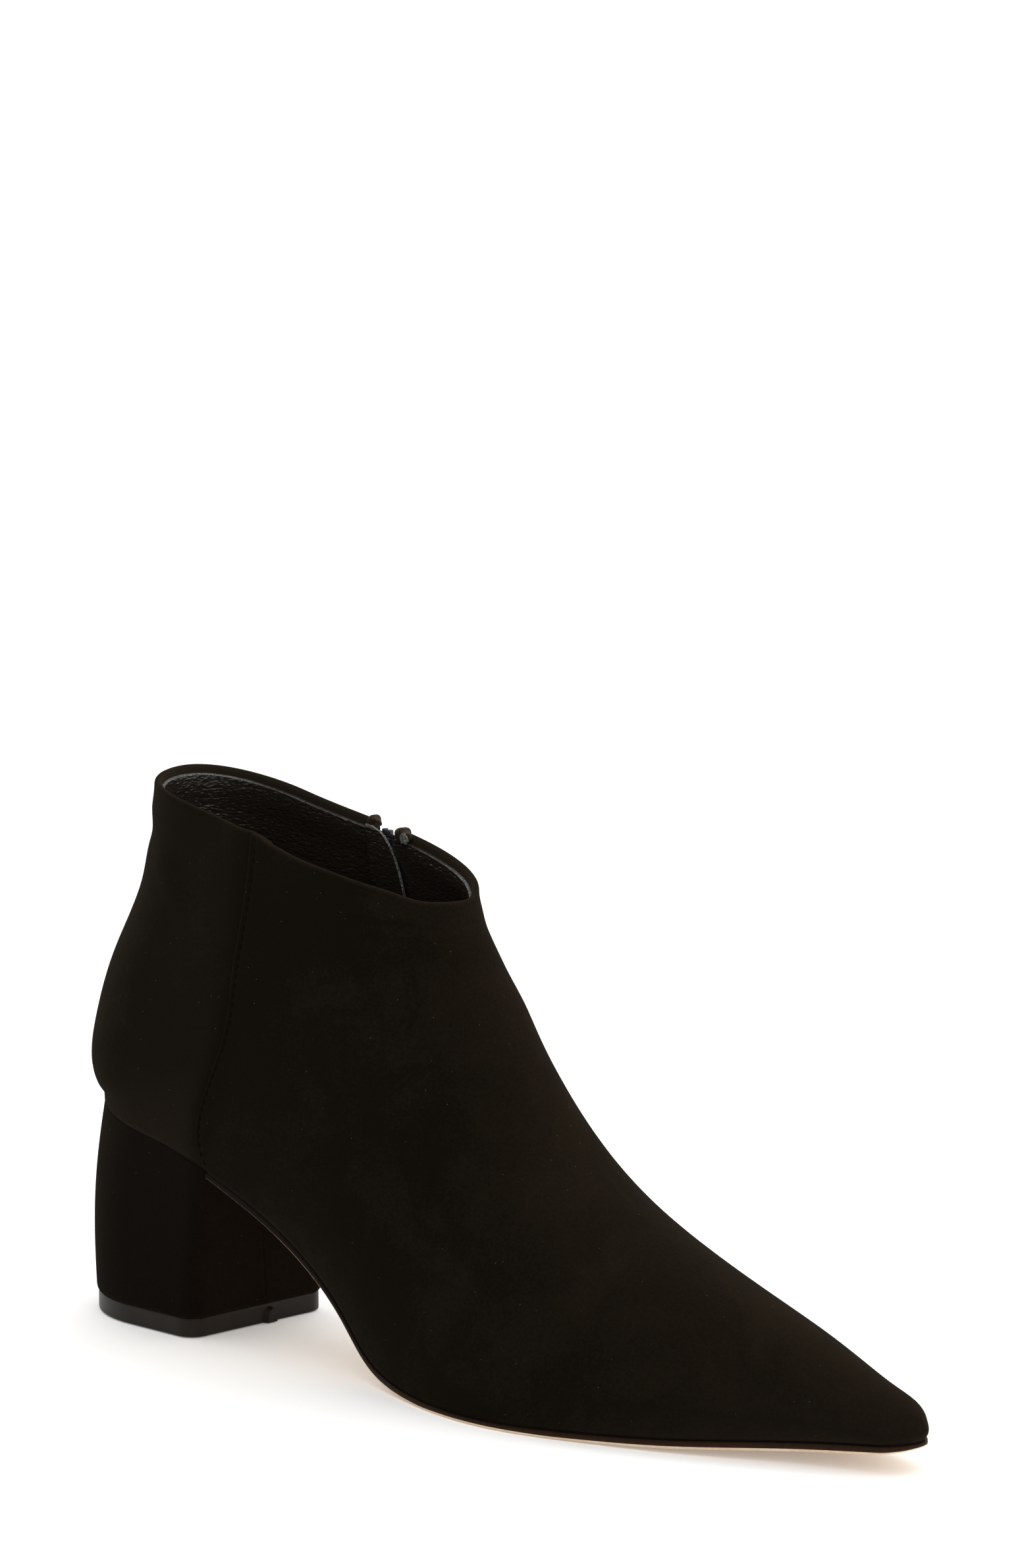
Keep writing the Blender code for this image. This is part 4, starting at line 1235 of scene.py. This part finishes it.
nickel = make_nickel()
slider_seat = zip_point(SLIDER_AT, 0.0, 0.0)
slider_axes = zip_axes(SLIDER_AT)
plate, plate_faces = pillow(
    np.array([0.0, 0.0, SLIDER_MIDDLE]), np.eye(3), SLIDER_HALF, square=(0.3, 0.5), rows=20, around=48
)
plate[..., 0] *= 1 + SLIDER_TAPER * plate[..., 1] / SLIDER_HALF[1]
arch = np.linspace(0, np.pi, ARCH_STATIONS)
arch_y = BRIDGE_HALF_LONG * np.sign(np.cos(arch)) * np.abs(np.cos(arch)) ** BRIDGE_SQUARE
arch_z = BRIDGE_FOOT + BRIDGE_RISE * np.sin(arch) ** BRIDGE_SQUARE
arch_path = np.stack([0 * arch, arch_y, arch_z], axis=1)
arch_way = unit(np.gradient(arch_path, axis=0))
arch_up = np.cross(np.array([1.0, 0.0, 0.0]), arch_way)
bar_wide, bar_thick = rounded_ring(BRIDGE_HALF, BRIDGE_HALF_THICK, BAR_AROUND)
bridge = arch_path[:, None] + bar_thick[:, None] * arch_up[:, None]
bridge = bridge + bar_wide[:, None] * np.array([1.0, 0.0, 0.0])
slider_points, slider_faces = join([(plate, plate_faces), tube(bridge)])
slider = add_piece(
    "zip_slider_cast", slider_seat + slider_points @ slider_axes, slider_faces, nickel, sharp=50.0
)
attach(slider, "shoe")
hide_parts("zip_slider")

# Pull tab: a flat stamped tab with a hole near its end, hung on the slider's bridge by a bent wire
# eye. It is plated like the slider, and it swings on the eye's cross bar.
EYE_HALF, EYE_RADIUS, EYE_CORNER = 1.65, 0.52, 1.0
EYE_DOWN = 7.0
EYE_BEND_STATIONS, EYE_LEG_STATIONS, EYE_AROUND = 9, 7, 10
TAB_TOP, TAB_END, TAB_HALF, TAB_NECK_HALF = -6.0, -23.3, 2.9, 2.2
TAB_SHOULDER, TAB_HALF_THICK, TAB_HOLE = -8.2, 0.55, 1.3
TAB_AROUND, TAB_ACROSS, TAB_TIP_STATIONS = 96, 20, 25

pivot = slider_seat + PULL_OUT * slider_axes[2]
bend = np.linspace(np.pi, np.pi / 2, EYE_BEND_STATIONS)
corner_x = -EYE_HALF + EYE_CORNER + EYE_CORNER * np.cos(bend)
corner_y = -EYE_CORNER + EYE_CORNER * np.sin(bend)
leg_y = np.linspace(-EYE_DOWN, -EYE_CORNER, EYE_LEG_STATIONS, endpoint=False)
leg_x = np.full(EYE_LEG_STATIONS, -EYE_HALF)
left = np.stack([np.append(leg_x, corner_x), np.append(leg_y, corner_y)], axis=1)
eye_path = np.concatenate([left, (left * np.array([-1, 1]))[::-1]])
eye_path = np.column_stack([eye_path, np.zeros(len(eye_path))])
eye_rings = sweep(eye_path, EYE_RADIUS, EYE_AROUND, np.array([0.0, 0.0, 1.0]))
tip_turn = np.linspace(0, -np.pi, TAB_TIP_STATIONS)
outline = np.concatenate(
    [
        [(-TAB_HALF, TAB_SHOULDER), (-TAB_NECK_HALF, TAB_TOP), (TAB_NECK_HALF, TAB_TOP)],
        [(TAB_HALF, TAB_SHOULDER)],
        np.column_stack([TAB_HALF * np.cos(tip_turn), TAB_END + TAB_HALF * np.sin(tip_turn)]),
        [(-TAB_HALF, TAB_SHOULDER)],
    ]
)
outer = read_along(outline, outline, np.linspace(0, run_along(outline)[-1], TAB_AROUND, endpoint=False))
hole = np.array([0.0, TAB_END]) + TAB_HOLE * unit(outer - np.array([0.0, TAB_END]))
ring_in, ring_up = rounded_ring(1.0, TAB_HALF_THICK, TAB_ACROSS, square=0.3)
middle, half_way = (outer + hole) / 2, (outer - hole) / 2
tab_flat = middle[:, None] + half_way[:, None] * ring_in[:, None]
tab_up = np.broadcast_to(ring_up, tab_flat.shape[:2])
tab_grid = np.concatenate([tab_flat, tab_up[..., None]], axis=-1)
tab_grid = np.concatenate([tab_grid, tab_grid[:1]])
tab = tab_grid.reshape(-1, 3), grid_faces(TAB_AROUND + 1, TAB_ACROSS, around=True)
pull_points, pull_faces = join([tab, tube(eye_rings)])
pull = add_piece("zip_pull_tab", pivot + pull_points @ slider_axes, pull_faces, nickel, sharp=50.0)
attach(pull, "pull_tab")
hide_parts("zip_pull")

# Insole: a fibre board under the foot, covered by a sock of the black lining leather with a soft pad
# at the heel. The upper is lasted under its edge.
GAP = 0.3
INSOLE_INSET, INSOLE_THICK = 2.3, 1.8
SOCK_PAD, SOCK_PAD_FRONT, SOCK_PAD_EASE = 0.9, 70.0, 22.0
SOCK_EDGE_ROUND, SOCK_CLEAR = 0.08, 0.05
INSOLE_STATIONS, INSOLE_ACROSS = 120, 21


def feather_z(x):
    """Height of the feather line at x."""
    return np.interp(x, FEATHER_X[::-1], FEATHER_Z[::-1])


def feather_outline(side, from_x, proud, count):
    """Feather line in plan from the nose to from_x, moved outwards by proud, closer set at its ends.

    Proud is one length or one for each point.
    """
    share = (1 - np.cos(np.linspace(0, np.pi, count))) / 2
    x = FEATHER_X[0] + share * (from_x - FEATHER_X[0])
    line = last_point(np.interp(x, FEATHER_X[::-1], FEATHER_ROWS[::-1]), 0.0, side)[:, :2]
    along = np.gradient(line, axis=0)
    along[0] = (0.0, SIDE_SIGN[side])
    if from_x <= FEATHER_X[-1]:
        along[-1] = (0.0, -SIDE_SIGN[side])
    out = np.stack([along[:, 1], -along[:, 0]], axis=1) * SIDE_SIGN[side]
    return line + np.broadcast_to(proud, count)[:, None] * unit(out)


lateral_line = feather_outline("lateral", FEATHER_X[-1], -INSOLE_INSET, INSOLE_STATIONS)
medial_line = feather_outline("medial", FEATHER_X[-1], -INSOLE_INSET, INSOLE_STATIONS)
across = (1 - np.cos(np.linspace(0, np.pi, INSOLE_ACROSS))) / 2
sock = lateral_line[:, None] + across[:, None] * (medial_line - lateral_line)[:, None]
pad = SOCK_PAD * ease((SOCK_PAD_FRONT - sock[..., 0]) / SOCK_PAD_EASE) * (1 - (2 * across - 1) ** 4)
rim = INSOLE_THICK * quarter_round(np.minimum(across, 1 - across), SOCK_EDGE_ROUND)
sock_top = np.concatenate([sock, (feather_z(sock[..., 0]) + rim + pad)[..., None]], axis=-1)
sock_low = np.concatenate([sock, feather_z(sock[..., 0])[..., None] + SOCK_CLEAR], axis=-1)
sock_ring = np.concatenate([sock_top, sock_low[:, -2:0:-1]], axis=1)
insole = add_piece("insole_sock", *tube(sock_ring), lining_leather, sharp=60.0)
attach(insole, "shoe")
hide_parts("insole")

# Outsole: thin leather, glued under the upper from the toe to the heel. Its edge is trimmed close,
# bevelled below and painted dark, while bevel and tread are left in the leather's natural tan. The top
# of the edge is drawn darker still, as painted shade under the suede's overhang.
SOLE_COLUMNS = "x thick proud bevel paint".split()
SOLE_TABLE = [
    (50.0, 1.5, -0.3, 0.03, 1.0),
    (62.0, 1.9, -0.2, 0.06, 0.95),
    (75.0, 2.0, -0.15, 0.1, 0.85),
    (97.0, 2.1, 0.0, 0.2, 0.65),
    (112.0, 2.0, 0.15, 0.35, 0.55),
    (128.0, 1.8, 0.3, 0.45, 0.5),
    (145.0, 1.7, 0.4, 0.5, 0.5),
    (175.0, 2.0, 0.4, 0.55, 0.5),
    (204.0, 2.3, 0.4, 0.75, 0.5),
    (228.0, 2.4, 0.4, 0.75, 0.5),
    (248.0, 2.4, 0.4, 0.7, 0.5),
    (257.0, 2.1, 0.4, 0.5, 0.5),
    (261.0, 1.7, 0.4, 0.4, 0.5),
    (265.0, 0.9, 0.3, 0.3, 0.5),
]
SOLE_LAP = 0.1
SOLE_FROM_LATERAL, SOLE_FROM_MEDIAL = 51.8, 52.4
SOLE_STATIONS, SOLE_ACROSS = 170, 12
ARRIS_HIGH, ARRIS_IN, TREAD_ROUND = 0.06, 0.02, 0.2
# Levels of the sole's edge from its top: how far in, how far under the top, and its paint, raised on
# the top levels as painted shade under the suede's overhang.
SOLE_EDGE = [(0.4, 0.0, 1.8), (0.1, 0.1, 1.8), (0.0, 0.4, 1.5)]


def sole(column, x):
    """A column of the outsole's table at x: in the waist it is thinner, set back and painted black."""
    rows = np.array(SOLE_TABLE)
    return np.interp(x, rows[:, 0], rows[:, SOLE_COLUMNS.index(column)])


def sole_side(side, from_x):
    """Lines along one side of the sole, from the top edge round to the tread, and their paint marks with
    painted shade.
    """
    lines, paint = [], []
    x = feather_outline(side, from_x, 0.0, SOLE_STATIONS)[:, 0]
    proud, bevel = sole("proud", x), sole("bevel", x)
    top = feather_z(x) + SOLE_LAP
    tread = np.maximum(top - sole("thick", x), 0.0)

    def level(inset, height, paint_and_shade):
        lines.append(np.column_stack([feather_outline(side, from_x, proud - inset, len(x)), height]))
        paint.append(paint_and_shade * sole("paint", x))

    for inset, under, paint_and_shade in SOLE_EDGE:
        level(inset, top - under, paint_and_shade)
    level(0.0, tread + bevel + ARRIS_HIGH, 1.0)
    level(ARRIS_IN, tread + bevel, 0)
    level(0.5 * bevel, tread + ARRIS_HIGH, 0)
    level(0.5 * bevel + TREAD_ROUND, tread, 0)
    return np.stack(lines, axis=1), np.stack(paint, axis=1)


def make_sole_leather():
    """Vegetable-tanned sole leather: tan with a fine fibre grain, and a wax paint on its edge.

    Its paint attribute is 0.5 where the edge is painted brown and 1 where it is black; on the top
    levels of the edge it is raised towards black, as painted shade under the suede's overhang.
    """
    material, tree, shader = new_material("sole_leather_veg_tanned", specular_ior_level=0.03)
    place = add_node(tree, "ShaderNodeTexCoord").outputs["Object"]
    grain = add_node(
        tree,
        "ShaderNodeTexNoise",
        {"Vector": place, "Scale": 1000 / 1.1, "Detail": 4.0, "Roughness": 0.65},
    )
    cloud = add_node(tree, "ShaderNodeTexNoise", {"Vector": place, "Scale": 1000 / 24, "Detail": 3.0})
    mixed = add_node(
        tree,
        "ShaderNodeMix",
        {"Factor": 0.45, "A": cloud.outputs["Fac"], "B": grain.outputs["Fac"]},
    )
    share = add_node(
        tree, "ShaderNodeMapRange", {"Value": mixed.outputs["Result"], "From Min": 0.35, "From Max": 0.65}
    )
    tan = add_node(
        tree,
        "ShaderNodeMix",
        {"Factor": share.outputs[0], "A": linear("#d0b393"), "B": linear("#e8d3ba")},
        data_type="RGBA",
    )
    brown = add_node(
        tree,
        "ShaderNodeMix",
        {"Factor": grain.outputs["Fac"], "A": linear("#1a110b"), "B": linear("#402c20")},
        data_type="RGBA",
    )
    paint_and_shade = add_node(tree, "ShaderNodeAttribute", attribute_name="paint_and_shade").outputs["Fac"]
    to_brown = add_node(tree, "ShaderNodeMapRange", {"Value": paint_and_shade, "From Max": 0.5})
    to_black = add_node(tree, "ShaderNodeMapRange", {"Value": paint_and_shade, "From Min": 0.5})
    stained = add_node(
        tree,
        "ShaderNodeMix",
        {"Factor": to_brown.outputs[0], "A": tan.outputs["Result"], "B": brown.outputs["Result"]},
        data_type="RGBA",
    )
    colour = add_node(
        tree,
        "ShaderNodeMix",
        {"Factor": to_black.outputs[0], "A": stained.outputs["Result"], "B": linear("#120d09")},
        data_type="RGBA",
    )
    tree.links.new(colour.outputs["Result"], shader.inputs["Base Color"])
    gloss = add_node(tree, "ShaderNodeMapRange", {"Value": paint_and_shade, "To Min": 0.62, "To Max": 0.45})
    tree.links.new(gloss.outputs[0], shader.inputs["Roughness"])
    raised = add_node(
        tree,
        "ShaderNodeBump",
        {"Height": grain.outputs["Fac"], "Strength": 0.3, "Distance": 0.15 * MM},
    )
    tree.links.new(raised.outputs["Normal"], shader.inputs["Normal"])
    return material


sole_lateral, lateral_paint = sole_side("lateral", SOLE_FROM_LATERAL)
sole_medial, medial_paint = sole_side("medial", SOLE_FROM_MEDIAL)
tread_share = np.linspace(0, 1, SOLE_ACROSS + 2)[1:-1, None]
tread_lines = sole_lateral[:, -1:] + tread_share * (sole_medial[:, -1:] - sole_lateral[:, -1:])
sole_ring = np.concatenate([sole_lateral, tread_lines, sole_medial[:, ::-1]], axis=1)
tread_paint = np.zeros((SOLE_STATIONS, SOLE_ACROSS))
sole_paint = np.concatenate([lateral_paint, tread_paint, medial_paint[:, ::-1]], axis=1)
sole_points, sole_faces = tube(sole_ring[:, ::-1])
outsole = add_piece(
    "outsole_leather",
    sole_points,
    sole_faces,
    make_sole_leather(),
    sharp=38.0,
    marks={"paint_and_shade": sole_paint[:, ::-1]},
)
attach(outsole, "shoe")
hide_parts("outsole")

# Heel: a moulded block covered in the upper's suede. The cover meets in a butt seam up the breast, a
# little to one side, and is turned in under the seat and over the foot.
HEEL_COLUMNS = "share back breast_lateral breast_medial lateral medial round".split()
HEEL_TABLE = [
    (0.0, -5.2, 45.3, 49.4, 22.8, 25.2, 25.0),
    (0.3, -5.4, 47.5, 51.2, 23.4, 24.8, 25.0),
    (0.6, -4.1, 49.8, 53.0, 24.2, 24.4, 26.0),
    (1.0, 0.3, 52.8, 55.6, 25.4, 23.9, 27.0),
]
HEEL_CORNER = 5.5
LIFT_THICK, LIFT_INSET = 5.0, 0.4
COVER_TURN, COVER_TURN_SHARE, SEAT_LAP = 0.6, 0.03, 0.3
BREAST_X, COVER_TURN_ROWS = 50.0, [0.0, 0.004, 0.012]
BREAST_SEAM_Y, BREAST_SEAM_LEAN = 2.6, 0.2
BREAST_GROOVE, BREAST_GROOVE_HALF = 0.1, 0.3
BREAST_LIP, BREAST_LIP_AT, BREAST_LIP_HALF = 0.05, 0.8, 0.5
HEEL_ROWS, HEEL_SIDE, HEEL_BREAST = 44, 44, 26


def heel_outline(share, inset, middle):
    """Outline of the heel at shares of its height, one row each, moved in by inset.

    It is round behind, straight along the sides, rounded at both front corners and straight across the
    breast, where its columns crowd at the place given by middle.
    """
    row = {
        name: spline(np.array(HEEL_TABLE)[:, 0], np.array(HEEL_TABLE)[:, k], share)
        for k, name in enumerate(HEEL_COLUMNS)
    }
    along = (1 - np.cos(np.pi * np.linspace(0, 1, HEEL_SIDE))) / 2
    sides = []
    for side in ("lateral", "medial"):
        front = row["breast_" + side] - inset
        back = row["back"] + inset
        x = back + (front - back) * along
        corner = HEEL_CORNER * (1 - quarter_round(front - x, HEEL_CORNER))
        y = SIDE_SIGN[side] * (row[side] - inset - corner) * quarter_round(x - back, row["round"])
        sides.append(np.stack([x, y], axis=-1))
    lateral, medial = sides
    start, end = lateral[:, -1], medial[:, -1]
    place = (middle - start[:, 1:]) / (end[:, 1:] - start[:, 1:])
    crowd = np.sin(np.pi / 2 * np.linspace(0, 1, HEEL_BREAST))
    share = np.concatenate([place * crowd, (1 - (1 - place) * crowd)[:, ::-1][:, 1:]], axis=1)
    breast = start[:, None] + share[..., None] * (end - start)[:, None]
    return np.concatenate([lateral, breast[:, 1:-1], medial[:, :0:-1]], axis=1)


heel_share = np.concatenate([COVER_TURN_ROWS, np.linspace(COVER_TURN_SHARE, 1, HEEL_ROWS)])[:, None]
foot_z = LIFT_THICK + GAP
seam_z = foot_z + heel_share * (feather_z(BREAST_X) - foot_z)
seam_y = BREAST_SEAM_Y - BREAST_SEAM_LEAN * (seam_z - foot_z)
turned = COVER_TURN * (1 - quarter_round(heel_share, COVER_TURN_SHARE))
heel_flat = heel_outline(heel_share, turned, seam_y)
breast_columns = slice(HEEL_SIDE, HEEL_SIDE + 2 * HEEL_BREAST - 3)
aside = heel_flat[:, breast_columns, 1] - seam_y
heel_flat[:, breast_columns, 0] -= BREAST_GROOVE * bell(aside, BREAST_GROOVE_HALF)
heel_flat[:, breast_columns, 0] += BREAST_LIP * bell(np.abs(aside) - BREAST_LIP_AT, BREAST_LIP_HALF)
heel_z = foot_z + heel_share * (feather_z(heel_flat[..., 0]) + SEAT_LAP - foot_z)
heel_grid = np.concatenate([heel_flat, heel_z[..., None]], axis=-1)
# The heel's suede is a darker copy of the upper's: painted shade, as the heel stands in the shadow of the
# upper and the arch.
shaded_heel_suede = make_suede("goat_suede_black_heel_shaded", "#0f0b08", "#15100b")
heel = add_piece("heel_cover", *tube(heel_grid), shaded_heel_suede, sharp=60.0)
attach(heel, "shoe")
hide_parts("heel")

# Heel's top piece: a plate of satin black rubber, nailed under the heel and a little smaller than its
# foot. The mould's gate left a flat nub on the breast side.
LIFT_ROUND, LIFT_TURNS = 0.5, [0, 22.5, 45, 67.5, 90]
LIFT_SIDE_FROM, LIFT_SIDE_TO, LIFT_SIDE_ROWS = 0.8, 4.6, 14
LIFT_TOP_Z, LIFT_TOP_IN = (LIFT_THICK + 0.1, LIFT_THICK + GAP), (0.06, 0.25)
NUB_Y, NUB_HALF, NUB_TALL, NUB_PROUD = 4.4, 1.8, 4.1, 1.3
NUB_EDGE = 0.2


def make_lift_rubber():
    """Moulded rubber, black and satin: very fine stipple of the mould, with faint greyer bloom."""
    material, tree, shader = new_material("rubber_top_piece_black", specular_ior_level=0.16)
    place = add_node(tree, "ShaderNodeTexCoord").outputs["Object"]
    bloom = add_node(tree, "ShaderNodeTexNoise", {"Vector": place, "Scale": 1000 / 9, "Detail": 3.0})
    stipple = add_node(tree, "ShaderNodeTexNoise", {"Vector": place, "Scale": 1000 / 0.6, "Detail": 1.0})
    tint = add_node(
        tree,
        "ShaderNodeMix",
        {"Factor": bloom.outputs["Fac"], "A": linear("#140f09"), "B": linear("#1e170e")},
        data_type="RGBA",
    )
    tree.links.new(tint.outputs["Result"], shader.inputs["Base Color"])
    gloss = add_node(
        tree, "ShaderNodeMapRange", {"Value": bloom.outputs["Fac"], "To Min": 0.36, "To Max": 0.5}
    )
    tree.links.new(gloss.outputs[0], shader.inputs["Roughness"])
    raised = add_node(
        tree,
        "ShaderNodeBump",
        {"Height": stipple.outputs["Fac"], "Strength": 0.1, "Distance": 0.1 * MM},
    )
    tree.links.new(raised.outputs["Normal"], shader.inputs["Normal"])
    return material


bend = np.radians(LIFT_TURNS)
lift_side = np.linspace(LIFT_SIDE_FROM, LIFT_SIDE_TO, LIFT_SIDE_ROWS)
lift_z = np.concatenate([LIFT_ROUND * (1 - np.cos(bend)), lift_side, LIFT_TOP_Z])
lift_in = np.concatenate([LIFT_ROUND * (1 - np.sin(bend)), 0 * lift_side, LIFT_TOP_IN])
lift_z, lift_in = lift_z[:, None], lift_in[:, None]
lift_flat = heel_outline(0 * lift_z, LIFT_INSET + lift_in, np.full(lift_z.shape, NUB_Y))
aside = np.abs(lift_flat[:, breast_columns, 1] - NUB_Y)
round_top = NUB_HALF * quarter_round(NUB_TALL - lift_z, NUB_HALF)
nub = ease((round_top - aside) / NUB_EDGE)
lift_flat[:, breast_columns, 0] += NUB_PROUD * nub
lift_heights = np.broadcast_to(lift_z, lift_flat.shape[:2])
lift_grid = np.concatenate([lift_flat, lift_heights[..., None]], axis=-1)
lift = add_piece("heel_top_piece", *tube(lift_grid), make_lift_rubber(), sharp=50.0)
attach(lift, "shoe")
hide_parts("heel_lift")

# Stage: a plain floor of white opal sheet, lit softly from below as well, and soft white light from all
# sides, with a large softbox overhead.
FLOOR_HALF, FLOOR_UNDER = 30.0, 0.0002
SOFTBOX_WIDE, SOFTBOX_POWER, SOFTBOX_AT = 2.2, 9.0, (-0.25, 0.2, 1.6)
floor_mesh = bpy.data.meshes.new("floor")
corners = [(x * FLOOR_HALF, y * FLOOR_HALF, -FLOOR_UNDER) for x, y in [(-1, -1), (1, -1), (1, 1), (-1, 1)]]
floor_mesh.from_pydata(corners, [], [(0, 1, 2, 3)])
floor = bpy.data.objects.new("floor", floor_mesh)
bpy.context.scene.collection.objects.link(floor)
opal, _, opal_shader = new_material(
    "opal_sheet_white", roughness=0.9, specular_ior_level=0.0, emission_strength=0.15
)
opal_shader.inputs["Base Color"].default_value = linear("#f2f1ef")
opal_shader.inputs["Emission Color"].default_value = linear("#ffffff")
floor_mesh.materials.append(opal)

world = bpy.data.worlds.new("studio")
bpy.context.scene.world = world
world.use_nodes = True
sky = world.node_tree.nodes["Background"]
sky.inputs["Color"].default_value = linear("#ffffff")
sky_way = add_node(world.node_tree, "ShaderNodeTexCoord").outputs["Generated"]
sky_part = add_node(world.node_tree, "ShaderNodeSeparateXYZ", {"Vector": sky_way})
sky_light = add_node(
    world.node_tree,
    "ShaderNodeMapRange",
    {"Value": sky_part.outputs["Y"], "From Min": -1.0, "From Max": 0.2, "To Min": 0.6, "To Max": 1.5},
    interpolation_type="SMOOTHSTEP",
)
world.node_tree.links.new(sky_light.outputs[0], sky.inputs["Strength"])

softbox = bpy.data.lights.new("softbox", "AREA")
softbox.shape = "RECTANGLE"
softbox.size, softbox.size_y = SOFTBOX_WIDE, SOFTBOX_WIDE
softbox.energy = SOFTBOX_POWER
lamp = bpy.data.objects.new("softbox", softbox)
lamp.location = SOFTBOX_AT
bpy.context.scene.collection.objects.link(lamp)

PHOTO_LONG, PHOTO_FOCAL, SENSOR_WIDE = 2380.0, 9100.0, 36.0
CAMERA_RIGHT = (0.74314, 0.66913, 0.0)
CAMERA_UP = (-0.12033, 0.13364, 0.98370)
CAMERA_BACK = (0.65822, -0.73103, 0.17983)
CAMERA_AT = (1.00642, -1.11160, 0.43080)
camera = bpy.data.cameras.new("camera")
camera.sensor_width = SENSOR_WIDE
camera.lens = PHOTO_FOCAL / PHOTO_LONG * SENSOR_WIDE
eye = bpy.data.objects.new("camera", camera)
turn = Matrix((CAMERA_RIGHT, CAMERA_UP, CAMERA_BACK)).transposed().to_4x4()
eye.matrix_world = Matrix.Translation(CAMERA_AT) @ turn
bpy.context.scene.collection.objects.link(eye)
bpy.context.scene.camera = eye
bpy.context.scene.view_settings.view_transform = "Standard"
